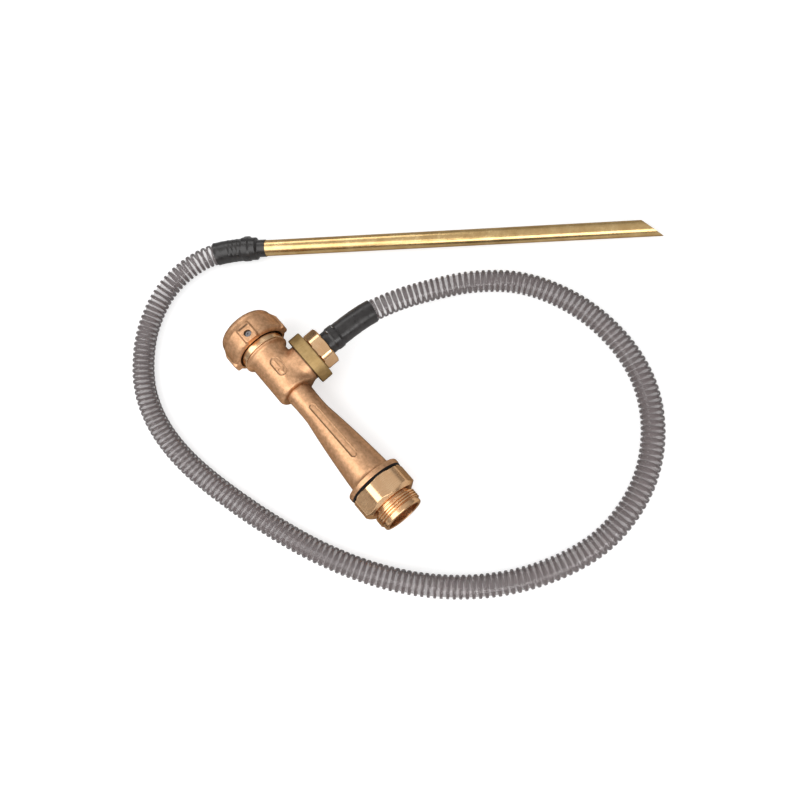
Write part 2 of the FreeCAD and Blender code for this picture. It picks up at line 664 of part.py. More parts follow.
def eductor_body():
    """Bronze casting: bead, barrel, neck, diffuser and flange in one, with the port's boss on its side."""
    body = new_body("eductor_body", FLOW)
    bead_r = S.collar_r + S.bead_rise
    bead_end = TAIL_END + S.bead_length
    barrel_start = bead_end + S.hollow_length
    hollow_x = bead_end + S.hollow_length * HOLLOW_ALONG
    hollow_r = BARREL_R + (bead_r - BARREL_R) * HOLLOW_UP
    throat_x = BARREL_END + S.throat_set
    turned(
        body,
        [
            (TAIL_END, 0),
            (TAIL_END, bead_r),
            (bead_end, bead_r),
            (barrel_start, BARREL_R, hollow_x, hollow_r),
            (BARREL_END - S.barrel_round, BARREL_R),
            (
                BARREL_END,
                BARREL_R - S.barrel_round,
                BARREL_END - S.barrel_round * ROUND_MIDDLE,
                BARREL_R - S.barrel_round * ROUND_MIDDLE,
            ),
            (BARREL_END, S.neck_start_r),
            (FLARE_X, S.flare_start_r, NECK_X, S.neck_r),
            (FLARE_END, FLARE_END_R, (FLARE_X + FLARE_END) * 0.5, S.flare_mid_r),
            (
                FLANGE_X,
                FLARE_END_R + S.flange_fillet,
                FLANGE_X - S.flange_fillet * ROUND_MIDDLE,
                FLARE_END_R + S.flange_fillet * ROUND_MIDDLE,
            ),
            (FLANGE_X, S.flange_r - S.flange_edge),
            (
                FLANGE_X + S.flange_edge,
                S.flange_r,
                FLANGE_X + S.flange_edge * ROUND_MIDDLE,
                S.flange_r - S.flange_edge * ROUND_MIDDLE,
            ),
            (FLANGE_END, S.flange_r),
            (FLANGE_END, 0),
        ],
    )
    turned(
        body,
        [
            (0, 0),
            (S.boss_r, 0),
            (S.boss_r, BOSS_END),
            (S.boss_thread_r, BOSS_END),
            (S.boss_thread_r, PORT_FACE),
            (0, PORT_FACE),
        ],
        about="V_Axis",
        at=PORT_X,
    )
    socket_r = SPIGOT_R + S.seat_gap
    seat_x = SPIGOT_END + S.seat_gap * 2 + S.nozzle_flange
    ring_end = INLET_RING_X + S.ring_section + S.seat_gap
    ring_wall = INLET_RING_R + S.ring_section + S.seat_gap
    turned(
        body,
        [
            (TAIL_END, 0),
            (TAIL_END, ring_wall),
            (ring_end, ring_wall),
            (ring_end, socket_r),
            (seat_x, socket_r),
            (seat_x, CHAMBER_R),
            (CHAMBER_END, CHAMBER_R),
            (throat_x, S.throat_r),
            (throat_x + S.throat_length, S.throat_r),
            (FLANGE_END - S.outlet_socket, S.outlet_bore_r),
            (FLANGE_END - S.outlet_socket, OUTLET_SOCKET_R),
            (FLANGE_END, OUTLET_SOCKET_R),
            (FLANGE_END, 0),
        ],
        cut=True,
    )
    turned(
        body,
        [
            (0, CHAMBER_R * 0.5),
            ((CAGE_R - S.cage_step), CHAMBER_R * 0.5),
            ((CAGE_R - S.cage_step), CAGE_SEAT),
            (CAGE_R, CAGE_SEAT),
            (CAGE_R, PORT_FACE),
            (0, PORT_FACE),
        ],
        cut=True,
        about="V_Axis",
        at=PORT_X,
    )


def outlet_adapter():
    """Hexagon with a spigot on one side, and the male hose thread and its pilot lip on the other."""
    body = new_body("outlet_adapter", FLOW)
    hexagon(body, S.hex_flats, HEX_START, S.hex_length, S.hex_clock.value)
    corner = S.hex_flats * CORNER_PER_FLAT
    past = corner + 2
    turned(
        body,
        [
            (HEX_END - S.hex_bevel, corner),
            (HEX_END - S.hex_bevel, past),
            (HEX_END + 1, past),
            (HEX_END + 1, corner - S.hex_bevel_drop),
            (HEX_END, corner - S.hex_bevel_drop),
        ],
        cut=True,
    )
    spigot_start = FLANGE_END - S.outlet_socket + S.seat_gap
    thread_start = HEX_END + S.relief_length
    thread_end = thread_start + S.male_length
    lip_start = thread_end + S.undercut
    lip_end = lip_start + S.pilot_length
    spigot_r = OUTLET_SOCKET_R - S.seat_gap
    turned(
        body,
        [
            (spigot_start, 0),
            (spigot_start, spigot_r),
            (HEX_START + 1, spigot_r),
            (HEX_START + 1, S.relief_r),
            (thread_start, S.relief_r),
            (thread_start, S.male_r - S.male_bevel),
            (thread_start + S.male_bevel, S.male_r),
            (thread_end, S.male_r),
            (thread_end, S.male_root_r),
            (lip_start, S.male_root_r),
            (lip_start, S.pilot_r),
            (lip_end - S.pilot_bevel, S.pilot_r),
            (lip_end, S.pilot_r - S.pilot_bevel),
            (lip_end, 0),
        ],
    )
    turned(
        body,
        [
            (spigot_start, 0),
            (spigot_start, S.outlet_bore_r),
            (HEX_START, S.outlet_bore_r),
            (HEX_END, S.lip_bore_r),
            (lip_end, S.lip_bore_r),
            (lip_end, 0),
        ],
        cut=True,
    )


def union_nut():
    """Round nut that draws the hose tail's flange against the port."""
    body = new_body("union_nut", PORT)
    e = S.nut_edge
    turned(
        body,
        [
            (NUT_START, NUT_THREAD_R),
            (NUT_START, NUT_R - e),
            (NUT_START + e, NUT_R, NUT_START + e * ROUND_MIDDLE, NUT_R - e * ROUND_MIDDLE),
            (NUT_END - e, NUT_R),
            (NUT_END, NUT_R - e, NUT_END - e * ROUND_MIDDLE, NUT_R - e * ROUND_MIDDLE),
            (NUT_END, (TAIL_FLANGE_R - S.nut_catch)),
            (NUT_LIP_X, (TAIL_FLANGE_R - S.nut_catch)),
            (NUT_LIP_X, NUT_THREAD_R),
        ],
    )


def hose_tail():
    """Flange, neck and hexagon turned in one with a barbed spigot, and a well for the ball's seat."""
    body = new_body("hose_tail", PORT)
    hexagon(body, S.tail_hex_flats, TAIL_HEX_START, S.tail_hex_length, 90)
    corner = S.tail_hex_flats * CORNER_PER_FLAT
    turned(
        body,
        [
            (TAIL_HEX_END - S.tail_bevel, corner),
            (TAIL_HEX_END - S.tail_bevel, corner + 1),
            (TAIL_HEX_END + 1, corner + 1),
            (TAIL_HEX_END + 1, corner - S.tail_bevel * 2),
            (TAIL_HEX_END, corner - S.tail_bevel * 2),
        ],
        cut=True,
    )
    pitch = (S.barb_length - S.barb_lead) * (1 / S.barb_count.value)
    barb_r = S.tube_r - S.seat_gap
    barb_root_r = HOSE_BORE_R - S.barb_drop
    barb_bore_r = barb_root_r - S.barb_wall
    barbs = []
    for i in range(int(S.barb_count.value)):
        foot = TAIL_HEX_END + S.barb_lead + pitch * i
        barbs.append((foot, barb_root_r))
        barbs.append((foot, barb_r))
        barbs.append((foot + pitch * 0.9, barb_root_r))
    turned(
        body,
        [
            (TAIL_FLANGE_X, 0),
            (TAIL_FLANGE_X, TAIL_FLANGE_R),
            (TAIL_FLANGE_END, TAIL_FLANGE_R),
            (TAIL_FLANGE_END, S.tail_neck_r),
            (TAIL_HEX_START + 1, S.tail_neck_r),
            (TAIL_HEX_START + 1, barb_root_r),
            *barbs,
            (TAIL_HEX_END + S.barb_length, barb_root_r),
            (TAIL_HEX_END + S.barb_length, 0),
        ],
    )
    well_end = SEAL_X + S.seal_ring_thick
    turned(
        body,
        [
            (TAIL_FLANGE_X, 0),
            (TAIL_FLANGE_X, BALL_WELL_R),
            (well_end, BALL_WELL_R),
            (well_end, barb_bore_r),
            (TAIL_HEX_END + S.barb_length, barb_bore_r),
            (TAIL_HEX_END + S.barb_length, 0),
        ],
        cut=True,
    )


def ball_cage():
    """Thin tube with three guide ribs. Their feet reach inwards and stop the ball."""
    start = CAGE_SEAT.value
    end = PORT_FACE.value
    outer = CAGE_R.value - S.seat_gap.value
    inner = outer - S.cage_wall.value
    guide = S.check_ball_r.value + S.race_play.value * 2
    floor = S.cage_floor.value
    along = Vector(1, 0, 0)
    shape = Part.makeCylinder(outer, end - start, Vector(start, 0, 0), along)
    shape = shape.cut(Part.makeCylinder(inner, end - start, Vector(start, 0, 0), along))
    ribs = []
    count = int(S.cage_ribs.value)
    for k in range(count):
        rib = Part.makeBox(end - start, S.cage_rib.value, (inner + outer) / 2)
        rib.translate(Vector(start, -S.cage_rib.value / 2, 0))
        rib.rotate(Vector(0, 0, 0), along, 360 / count * k)
        ribs.append(rib)
    star = ribs[0].multiFuse(ribs[1:])
    star = star.cut(Part.makeCylinder(S.cage_stop_r.value, end - start, Vector(start, 0, 0), along))
    star = star.cut(Part.makeCylinder(guide, end - start - floor, Vector(start + floor, 0, 0), along))
    solid_node("ball_cage", shape.fuse(star).removeSplitter(), PORT)


def check_ball():
    centre = Vector(BALL_SHUT.value, 0, 0)
    solid_node("check_ball", Part.makeSphere(S.check_ball_r.value, centre), PORT)


# The hose.
def hose_points():
    leave = PORT.multVec(Vector(TAIL_HEX_END.value, 0, 0))
    lying = S.hose_r.value + S.lying_gap.value - AXIS_HEIGHT
    return [leave, leave + Vector(0, FIRST_RUN, 0)] + [Vector(x, y, lift + lying) for x, y, lift in HOSE_ROUTE]


def routed(points):
    """Straight runs joined by tangent arcs, each arc as large as its two runs allow."""
    edges = []
    at = points[0]
    for before, corner, after in zip(points, points[1:], points[2:]):
        back = (before - corner).normalize()
        ahead = (after - corner).normalize()
        half_turn = (math.pi - back.getAngle(ahead)) / 2
        reach = ARC_SHARE * min(before.distanceToPoint(corner), after.distanceToPoint(corner))
        radius = reach / math.tan(half_turn)
        start = corner + back * reach
        end = corner + ahead * reach
        inward = (back + ahead).normalize()
        middle = corner + inward * (radius / math.cos(half_turn) - radius)
        edges.append(Part.LineSegment(at, start).toShape())
        edges.append(Part.Arc(start, middle, end).toShape())
        print(f"hose turn {math.degrees(2 * half_turn):5.1f} degrees, radius {radius:6.1f}")
        at = end
    edges.append(Part.LineSegment(at, points[-1]).toShape())
    return edges


def portion(edges, start, end):
    """The part of a route between two distances along it."""
    kept = []
    passed = 0.0
    for edge in edges:
        low = max(start - passed, 0.0)
        high = min(end - passed, edge.Length)
        if high - low > 1e-6:
            first = edge.getParameterByLength(low)
            last = edge.getParameterByLength(high)
            kept.append(Part.Edge(edge.Curve, first, last))
        passed += edge.Length
    return kept


def pipe(edges, radius):
    path = Part.Wire(edges)
    begin = edges[0].valueAt(edges[0].FirstParameter)
    along = edges[0].tangentAt(edges[0].FirstParameter)
    section = Part.Wire(Part.Circle(begin, along, radius).toShape())
    return path.makePipeShell([section], True, False)


def hose_and_ends():
    """The hose with its two clamps, its two shrunk sleeves and the pick-up tube in its far end."""
    points = hose_points()
    edges = routed(points)
    length = sum(edge.Length for edge in edges)
    bore = HOSE_BORE_R.value
    hose = pipe(edges, S.hose_r.value).cut(pipe(edges, bore))
    wanted = math.pi * (S.hose_r.value**2 - bore**2) * length
    print(f"hose length {length:.1f}, volume {hose.Volume:.0f} against {wanted:.0f}")
    solid_node("suction_hose", hose)

    near = end_frame(points[0], points[1], S.near_ear_turn.value)
    far = end_frame(points[-1], points[-2], S.far_ear_turn.value)
    near_outside = pipe(portion(edges, S.seat_gap.value, S.near_sleeve.value), sleeve_r())
    far_outside = pipe(portion(edges, length - S.far_sleeve.value, length), sleeve_r())
    clamp("near_clamp", near)
    clamp("far_clamp", far)
    hose_inside = pipe(edges, S.hose_r.value + S.seat_gap.value)
    shrunk_sleeve("near_sleeve", near, near_outside, hose_inside, [])
    neck = far_neck()
    neck.transformShape(far.toMatrix())
    shrunk_sleeve("far_sleeve", far, far_outside, hose_inside, [neck])
    pickup_tube(far)


def sleeve_r():
    return S.hose_r.value + S.seat_gap.value + S.sleeve_wall.value


def end_frame(end, inner, ear_turn):
    """Frame at an end of the hose: X runs into the hose, and the clamp's ear turns about it."""
    inward = (inner - end).normalize()
    side = Vector(0, 0, 1).cross(inward).normalize()
    up = inward.cross(side)
    frame = Placement(end, Rotation(inward, side, up, "XYZ"))
    return frame.multiply(Placement(Vector(), Rotation(Vector(1, 0, 0), ear_turn)))


def lathe(corners):
    """Solid of revolution about X through corners (x, r), for the pieces on the hose's ends."""
    points = [Vector(x, r, 0) for x, r in corners]
    face = Part.Face(Part.makePolygon(points + points[:1]))
    return face.revolve(Vector(0, 0, 0), Vector(1, 0, 0), 360)


def band_and_ear(grow):
    """A clamp's outline: a band, and a pinched ear on its upper side."""
    start = S.clamp_start.value - grow
    width = S.clamp_width.value + 2 * grow
    outer = S.hose_r.value + S.seat_gap.value + S.clamp_thick.value + grow
    band = Part.makeCylinder(outer, width, Vector(start, 0, 0), Vector(1, 0, 0))
    rise = outer + S.ear_rise.value
    wide = S.ear_width.value + 2 * grow
    ear = Part.makeBox(width, wide, rise, Vector(start, -wide / 2, 0))
    tops = [e for e in ear.Edges if abs(e.CenterOfMass.z - rise) < 0.01 and e.Length > width - 0.01]
    tops = [e for e in tops if abs(e.tangentAt(e.FirstParameter).x) > 0.9]
    return band.fuse(ear.makeFillet(wide * 0.3, tops)).removeSplitter()


def hose_core(radius):
    """Plain round core along an end of the hose, for what is cut to the hose's outside."""
    reach = S.clamp_start.value + S.clamp_width.value + 4
    return Part.makeCylinder(radius, reach + 2, Vector(-2, 0, 0), Vector(1, 0, 0))


def clamp(label, frame):
    shape = band_and_ear(0).cut(hose_core(S.hose_r.value + S.seat_gap.value))
    solid_node(label, shape.removeSplitter(), frame)


def shrunk_sleeve(label, frame, outside, hose_inside, more):
    """Heat-shrunk sleeve: it follows the hose, and stands out over the clamp's band and ear."""
    over_clamp = band_and_ear(S.seat_gap.value + S.sleeve_wall.value)
    over_clamp.transformShape(frame.toMatrix())
    room = band_and_ear(S.seat_gap.value)
    room.transformShape(frame.toMatrix())
    shape = outside.multiFuse([over_clamp] + more).cut(hose_inside).cut(room)
    solid_node(label, shape.removeSplitter())


def far_neck():
    """The far sleeve's step down from the hose to the bare tube."""
    tube = HOSE_BORE_R.value
    neck = tube + S.sleeve_wall.value
    step = S.far_sleeve_step.value
    end = -S.far_sleeve_neck.value
    gap = -S.seat_gap.value
    lap = S.sleeve_lap.value
    shoulder = -S.sleeve_wall.value
    inside = (tube + S.hose_r.value) / 2
    corners = [(gap, tube), (end, tube), (end, neck), (shoulder - step, neck)]
    return lathe(corners + [(shoulder, sleeve_r()), (lap, sleeve_r()), (lap, inside), (gap, inside)])


def pickup_tube(far):
    """Drawn brass tube, cut slantwise so that it can't seal against the bottom of a drum."""
    radius = S.tube_r.value
    length = S.tube_length.value
    tube = Part.makeCylinder(radius, length, Vector(0, 0, 0), Vector(1, 0, 0))
    tube = tube.cut(Part.makeCylinder(radius - S.tube_wall.value, length, Vector(0, 0, 0), Vector(1, 0, 0)))
    bevel = S.tube_bevel.value
    far_point = Vector(length, -radius, -radius - 1)
    wedge = Part.Face(
        Part.makePolygon(
            [
                far_point,
                Vector(length - bevel * 1.5, radius * 2, -radius - 1),
                Vector(length + 1, radius * 2, -radius - 1),
                Vector(length + 1, -radius, -radius - 1),
                far_point,
            ]
        )
    ).extrude(Vector(0, 0, 2 * radius + 2))
    tube = tube.cut(wedge)
    turn = Placement(Vector(S.tube_insert.value, 0, 0), Rotation(Vector(0, 0, 1), 180))
    level = Placement(Vector(), Rotation(Vector(1, 0, 0), -S.far_ear_turn.value))
    solid_node("pickup_tube", tube, far.multiply(level).multiply(turn))


swivel_coupling()
ring("swivel_gasket", FLOW, S.female_end + S.gasket_play, S.gasket_thick, S.gasket_in_r, GASKET_OUT_R)
race_balls()
race_plug()
inlet_tailpiece()
seal("inlet_ring", FLOW, INLET_RING_X, INLET_RING_R, S.ring_section)
jet_nozzle()
seal("nozzle_ring", FLOW, NOZZLE_RING_X, NOZZLE_RING_R, S.nozzle_ring_section)
eductor_body()
ring(
    "outlet_gasket",
    FLOW,
    FLANGE_END,
    S.outlet_gasket_thick,
    OUTLET_SOCKET_R,
    S.flange_r - S.outlet_gasket_in,
)
outlet_adapter()
ring("union_gasket", PORT, PORT_FACE, S.port_gasket_thick, BALL_WELL_R + S.port_gasket_in, TAIL_FLANGE_R)
union_nut()
hose_tail()
ball_cage()
check_ball()
ring("ball_seat", PORT, SEAL_X, S.seal_ring_thick, SEAL_RING_R, BALL_WELL_R - S.seat_gap)
hose_and_ends()
doc.recompute()

for thing in doc.Objects:
    faults = [state for state in thing.State if state in ("Invalid", "Error")]
    if faults:
        raise RuntimeError(f"{thing.Label} is {faults}")
for node in NODES:
    if node.Shape.isNull() or not node.Shape.isValid() or not node.Shape.Solids:
        raise RuntimeError(f"{node.Label} has no valid solid")

os.makedirs("parts", exist_ok=True)
for node in NODES:
    node.Shape.exportStep(f"parts/{node.Label}.step")
    print(f"{node.Label}: {len(node.Shape.Solids)} solid(s), {node.Shape.Volume:.0f} mm3")
print(f"flow axis dips {math.degrees(DIP):.3f} degrees; table at Z {-AXIS_HEIGHT:.3f}")
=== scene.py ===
# %% [markdown]
# # An in-line Venturi eductor with its suction hose and pick-up tube
# Water runs through a bronze body with a narrow throat. The low pressure there draws a liquid up a
# brass tube and a ribbed hose, past a check valve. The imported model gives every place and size, in
# metres; this script gives each visible piece its real surface and finish.
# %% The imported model
import json
import math

import bpy
import numpy as np
from mathutils import Matrix, Vector


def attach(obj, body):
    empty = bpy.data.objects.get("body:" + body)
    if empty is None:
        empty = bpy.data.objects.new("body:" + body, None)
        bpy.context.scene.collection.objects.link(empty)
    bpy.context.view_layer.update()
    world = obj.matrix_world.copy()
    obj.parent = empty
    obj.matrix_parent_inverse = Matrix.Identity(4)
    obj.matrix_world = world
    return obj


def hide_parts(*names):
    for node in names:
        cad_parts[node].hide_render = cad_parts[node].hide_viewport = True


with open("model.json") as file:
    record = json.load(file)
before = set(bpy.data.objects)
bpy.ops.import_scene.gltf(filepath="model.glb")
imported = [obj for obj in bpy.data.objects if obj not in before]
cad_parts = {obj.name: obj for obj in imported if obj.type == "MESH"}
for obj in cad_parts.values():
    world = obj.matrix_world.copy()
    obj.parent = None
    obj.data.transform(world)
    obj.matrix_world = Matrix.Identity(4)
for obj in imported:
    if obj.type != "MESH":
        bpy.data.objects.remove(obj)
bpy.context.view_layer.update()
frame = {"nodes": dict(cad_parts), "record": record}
MM = 0.001

# %% [markdown]
# ## Places to measure from
# Most pieces are round about one of two lines: the water's way through the eductor, and the suction
# port that leaves it sideways. A place is an origin and three directions: along the line, to one
# side, and up. Shapes are worked out in a place's own millimetres and settled into the model.
# %% Flow and port
joints = {joint["name"]: joint for joint in frame["record"]["behaviour"]["joints"]}


def place_on(origin, along):
    """A place: the side is z x along, and the new up is along x side."""
    along = np.array(along, float) / np.linalg.norm(along)
    side = np.cross((0, 0, 1), along)
    side /= np.linalg.norm(side)
    return np.array(origin, float), np.array([along, side, np.cross(along, side)])


def settle(place, x, y, z):
    """Millimetres in a place become metres in the model: origin + x along + y side + z up."""
    origin, axes = place
    return origin + np.stack(np.broadcast_arrays(x, y, z), -1) * MM @ axes


FLOW = place_on((0, 0, 0), joints["inlet_swivel"]["axis"])
PORT = place_on(joints["nut_spin"]["pos_m"], (0, 1, 0))
PORT[0][1] = 0.0  # the port's distances are counted from the flow's line
FLOOR = -0.037017  # height of the table's top, in metres
print("port leaves the flow at", PORT[0].round(5))

# %% [markdown]
# ## The view
# The object lies on a pale floor and is seen steeply from above. The camera stands where the
# outlet's round lip and the tube's length both have the right shape.
# %% Camera
CAMERA_AT = (0.4390, 0.0127, 0.8008)
CAMERA_AXES = (
    (0.6404, -0.7073, 0.2993),
    (0.7551, 0.6511, -0.0768),
    (-0.1405, 0.2752, 0.9511),
)
camera_data = bpy.data.cameras.new("camera")
camera_data.lens = 35.1
camera_data.sensor_width = 36.0
camera_data.clip_start = 0.01
camera = bpy.data.objects.new("camera", camera_data)
bpy.context.scene.collection.objects.link(camera)
bpy.context.scene.camera = camera
turn = Matrix(CAMERA_AXES).to_quaternion().normalized()
camera.matrix_world = Matrix.Translation(CAMERA_AT) @ turn.to_matrix().to_4x4()
print("camera at", CAMERA_AT, "with a lens of", round(camera_data.lens, 1), "mm")

# %% [markdown]
# ## Meshes from arrays
# Every new piece is a grid of points worked out as one array. These helpers put such arrays into a
# mesh, join the grid's edges so that nothing gapes, and turn the faces outwards.
# %% From arrays to a mesh


def put(name, points, quads, tris=None, own=None, painted_shade=None):
    """A mesh object of these points and faces. own is each point's place in the piece's own
    coordinates, and the last argument is painted shade: how far each point is darkened, from 0 to 1."""
    points = np.asarray(points, float).reshape(-1, 3)
    tris = np.zeros((0, 3), int) if tris is None else tris
    fans = np.vstack([np.zeros((0, 3), int), quads[:, :3], quads[:, [0, 2, 3]], tris])
    a, b, c = (points[fans[:, k]] for k in range(3))
    if np.einsum("ij,ij->i", a, np.cross(b, c)).sum() < 0:
        quads, tris = quads[:, ::-1], tris[:, ::-1]
    loops = np.concatenate([quads.ravel(), tris.ravel()])
    starts = np.concatenate([np.arange(len(quads)) * 4, len(quads) * 4 + np.arange(len(tris)) * 3])
    mesh = bpy.data.meshes.new(name)
    mesh.vertices.add(len(points))
    mesh.vertices.foreach_set("co", points.astype(np.float32).ravel())
    mesh.loops.add(len(loops))
    mesh.loops.foreach_set("vertex_index", loops.astype(np.int32))
    mesh.polygons.add(len(starts))
    mesh.polygons.foreach_set("loop_start", starts.astype(np.int32))
    mesh.update(calc_edges=True)
    mesh.shade_smooth()
    if own is not None:
        layer = mesh.attributes.new("own", "FLOAT_VECTOR", "POINT")
        layer.data.foreach_set("vector", np.asarray(own, np.float32).reshape(-1, 3).ravel())
    if painted_shade is not None:
        layer = mesh.attributes.new("painted_shade", "FLOAT", "POINT")
        layer.data.foreach_set("value", painted_shade.astype(np.float32).ravel())
    piece = bpy.data.objects.new(name, mesh)
    bpy.context.scene.collection.objects.link(piece)
    print(f"{name}: {2 * len(quads) + len(tris)} triangles")
    return piece


def closed_skin(name, grid, own, ring, painted_shade=None):
    """Rows and columns of points as a closed skin. Columns always meet; rows meet if ring, or
    else each end gets a fan."""
    rows, columns = grid.shape[:2]
    index = np.arange(rows * columns).reshape(rows, columns)
    beside = np.roll(index, -1, 1)
    corners = np.stack([index, beside, np.roll(beside, -1, 0), np.roll(index, -1, 0)], -1)
    if ring:
        return put(name, grid, corners.reshape(-1, 4), own=own, painted_shade=painted_shade)
    first, last = rows * columns, rows * columns + 1
    fan_a = np.stack([np.full(columns, first), beside[0], index[0]], -1)
    fan_b = np.stack([np.full(columns, last), index[-1], beside[-1]], -1)
    points = np.vstack([grid.reshape(-1, 3), grid[0].mean(0), grid[-1].mean(0)])
    own = np.vstack([own.reshape(-1, 3), own[0].mean(0), own[-1].mean(0)])
    return put(name, points, corners[:-1].reshape(-1, 4), np.vstack([fan_a, fan_b]), own)


def dress(piece, material, body, slot, *nodes):
    """The piece gets its finish, rides on its body and stands for its CAD nodes."""
    piece.data.materials.append(material)
    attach(piece, body)
    if nodes:
        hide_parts(*nodes)


# %% [markdown]
# ## Finishes
# A finish is a small tree of nodes. Real metal is never one flat colour: casting leaves a grain,
# turning leaves rings, handling leaves dull patches. Each tree mixes noise of two sizes into
# colour, roughness and a shallow bump.
# %% A helper for node trees


def add(tree, kind, inputs=(), **settings):
    """A new node with its settings; an input is given a value or another node's socket."""
    made = tree.nodes.new("ShaderNode" + kind)
    for name, value in settings.items():
        setattr(made, name, value)
    for name, value in dict(inputs).items():
        if isinstance(value, bpy.types.NodeSocket):
            tree.links.new(value, made.inputs[name])
        else:
            made.inputs[name].default_value = value
    return made


def new_finish(name, **values):
    """An empty material with its shader's constant values set on the shader's own sockets."""
    material = bpy.data.materials.new(name)
    material.use_nodes = True
    shader = material.node_tree.nodes["Principled BSDF"]
    for key, value in values.items():
        shader.inputs[key.replace("_", " ")].default_value = value
    return material, material.node_tree, shader


def grain(tree, vector, scale, detail=4.0, stretch=(1, 1, 1), roughness=0.55):
    """Noise of a size: scale is how many lumps fit in a metre, and stretch draws them out."""
    mapped = add(tree, "Mapping", {"Vector": vector, "Scale": stretch})
    values = {"Vector": mapped.outputs[0], "Scale": scale, "Detail": detail, "Roughness": roughness}
    return add(tree, "TexNoise", values).outputs["Fac"]


def ramp(tree, value, *stops):
    """Colours or greys along a value from 0 to 1."""
    made = add(tree, "ValToRGB", {"Fac": value})
    band = made.color_ramp
    while len(band.elements) < len(stops):
        band.elements.new(1.0)
    for element, (at, shade) in zip(band.elements, stops):
        element.position = at
        element.color = (*shade, 1) if hasattr(shade, "__len__") else (shade, shade, shade, 1)
    return made.outputs["Color"]


def blend(tree, how, amount, a, b):
    """Two colours mixed."""
    made = add(tree, "Mix", data_type="RGBA", blend_type=how)
    for socket, value in zip((made.inputs[0], made.inputs[6], made.inputs[7]), (amount, a, b)):
        if isinstance(value, bpy.types.NodeSocket):
            tree.links.new(value, socket)
        else:
            socket.default_value = value
    return made.outputs[2]


def own_place(tree):
    """The piece's own coordinates, which the "own" layer of its points holds."""
    return add(tree, "Attribute", attribute_name="own").outputs["Vector"]


def object_place(tree):
    """The model's coordinates, for pieces without a layer of their own."""
    return add(tree, "TexCoord").outputs["Object"]


# %% Metals
AS_IT_IS = (1, 1, 1)
BUMP_HEIGHT = 0.0002


def metal(name, *, dark, light, rough, place, mottle, lines, dent, stretch=AS_IT_IS, fine=0.16):
    """Metal whose colour runs from dark to light over mottles, with finer lines in its gloss and
    bump. mottle and lines are counts in a metre, dent is the bump's strength, and fine is how much
    the lines darken. Painted shade darkens the colour where the surface turns away from the eye,
    and where the points' own layer of painted shade says so: in gaps, corners and recesses."""
    material, tree, shader = new_finish(name, Metallic=1.0, Specular_Tint=(0.55, 0.42, 0.32, 1))
    vector = place(tree)
    patches = grain(tree, vector, mottle, 6.0, roughness=0.66)
    marks = grain(tree, vector, lines, 3.0, stretch)
    tone = ramp(tree, patches, (0.34, dark), (0.66, light))
    shade = ramp(tree, marks, (0.3, 1 - fine), (0.7, 1.0))
    # Painted shade: the colour darkens towards the outline, where the surface turns away from the
    # eye.
    facing = add(tree, "LayerWeight", {"Blend": 0.5}).outputs["Facing"]
    edge = ramp(tree, facing, (0.62, 1.0), (0.90, 0.5), (1.0, 0.22))
    # Painted shade from the points' own layer, in gaps, corners and recesses.
    painted_shade_layer = add(tree, "Attribute", attribute_name="painted_shade").outputs["Fac"]
    painted_shade = ramp(tree, painted_shade_layer, (0.0, 1.0), (1.0, 0.18))
    colour = blend(tree, "MULTIPLY", 1.0, blend(tree, "MULTIPLY", 1.0, tone, shade), edge)
    colour = blend(tree, "MULTIPLY", 1.0, colour, painted_shade)
    tree.links.new(colour, shader.inputs["Base Color"])
    low, high = rough
    worn = blend(tree, "MIX", 0.45, patches, marks)
    tree.links.new(ramp(tree, worn, (0.35, low), (0.65, high)), shader.inputs["Roughness"])
    bump = add(tree, "Bump", {"Height": marks, "Strength": dent, "Distance": BUMP_HEIGHT})
    tree.links.new(bump.outputs[0], shader.inputs["Normal"])
    return material


cast_bronze = metal(
    "cast_bronze",
    dark=(0.64, 0.350, 0.185), light=(0.90, 0.54, 0.31), rough=(0.40, 0.54),
    place=object_place, mottle=260, lines=1100, dent=0.50,
)
collar_bronze = metal(
    "collar_bronze",
    dark=(0.93, 0.58, 0.32), light=(0.98, 0.68, 0.42), rough=(0.20, 0.30),
    place=own_place, mottle=60, lines=1800, dent=0.10, stretch=(1, 0.04, 0.04),
)
nozzle_bronze = metal(
    "nozzle_bronze",
    dark=(0.60, 0.34, 0.18), light=(0.75, 0.46, 0.26), rough=(0.25, 0.36),
    place=own_place, mottle=60, lines=1800, dent=0.10, stretch=(1, 0.04, 0.04),
)
outlet_bronze = metal(
    "outlet_bronze",
    dark=(0.90, 0.54, 0.29), light=(0.97, 0.63, 0.36), rough=(0.20, 0.30),
    place=own_place, mottle=90, lines=1500, dent=0.08, stretch=(1, 0.06, 0.06), fine=0.08,
)
nut_brass = metal(
    "nut_brass",
    dark=(0.42, 0.275, 0.115), light=(0.56, 0.39, 0.18), rough=(0.50, 0.62),
    place=own_place, mottle=120, lines=2200, dent=0.35, stretch=(0.05, 1, 1), fine=0.2,
)
adapter_brass = metal(
    "adapter_brass",
    dark=(0.90, 0.54, 0.28), light=(0.97, 0.64, 0.37), rough=(0.14, 0.24),
    place=own_place, mottle=70, lines=1400, dent=0.06, stretch=(1, 0.05, 0.05), fine=0.08,
)
tube_brass = metal(
    "tube_brass",
    dark=(0.64, 0.42, 0.18), light=(0.82, 0.58, 0.28), rough=(0.20, 0.28),
    place=own_place, mottle=60, lines=1500, dent=0.16, stretch=(0.03, 1, 1), fine=0.12,
)
steel = metal(
    "steel",
    dark=(0.45, 0.45, 0.46), light=(0.6, 0.6, 0.6), rough=(0.16, 0.26),
    place=object_place, mottle=90, lines=900, dent=0.05,
)
# A darker copy of the steel: painted shade for the plug, which sits down in its hole.
shaded_plug_steel = metal(
    "shaded_plug_steel",
    dark=(0.28, 0.27, 0.28), light=(0.42, 0.41, 0.42), rough=(0.2, 0.3),
    place=object_place, mottle=300, lines=900, dent=0.1,
)
stainless = metal(
    "stainless",
    dark=(0.5, 0.5, 0.5), light=(0.64, 0.63, 0.61), rough=(0.2, 0.3),
    place=object_place, mottle=90, lines=900, dent=0.1,
)
print("materials so far:", len(bpy.data.materials))

# %% Rubber and plastic


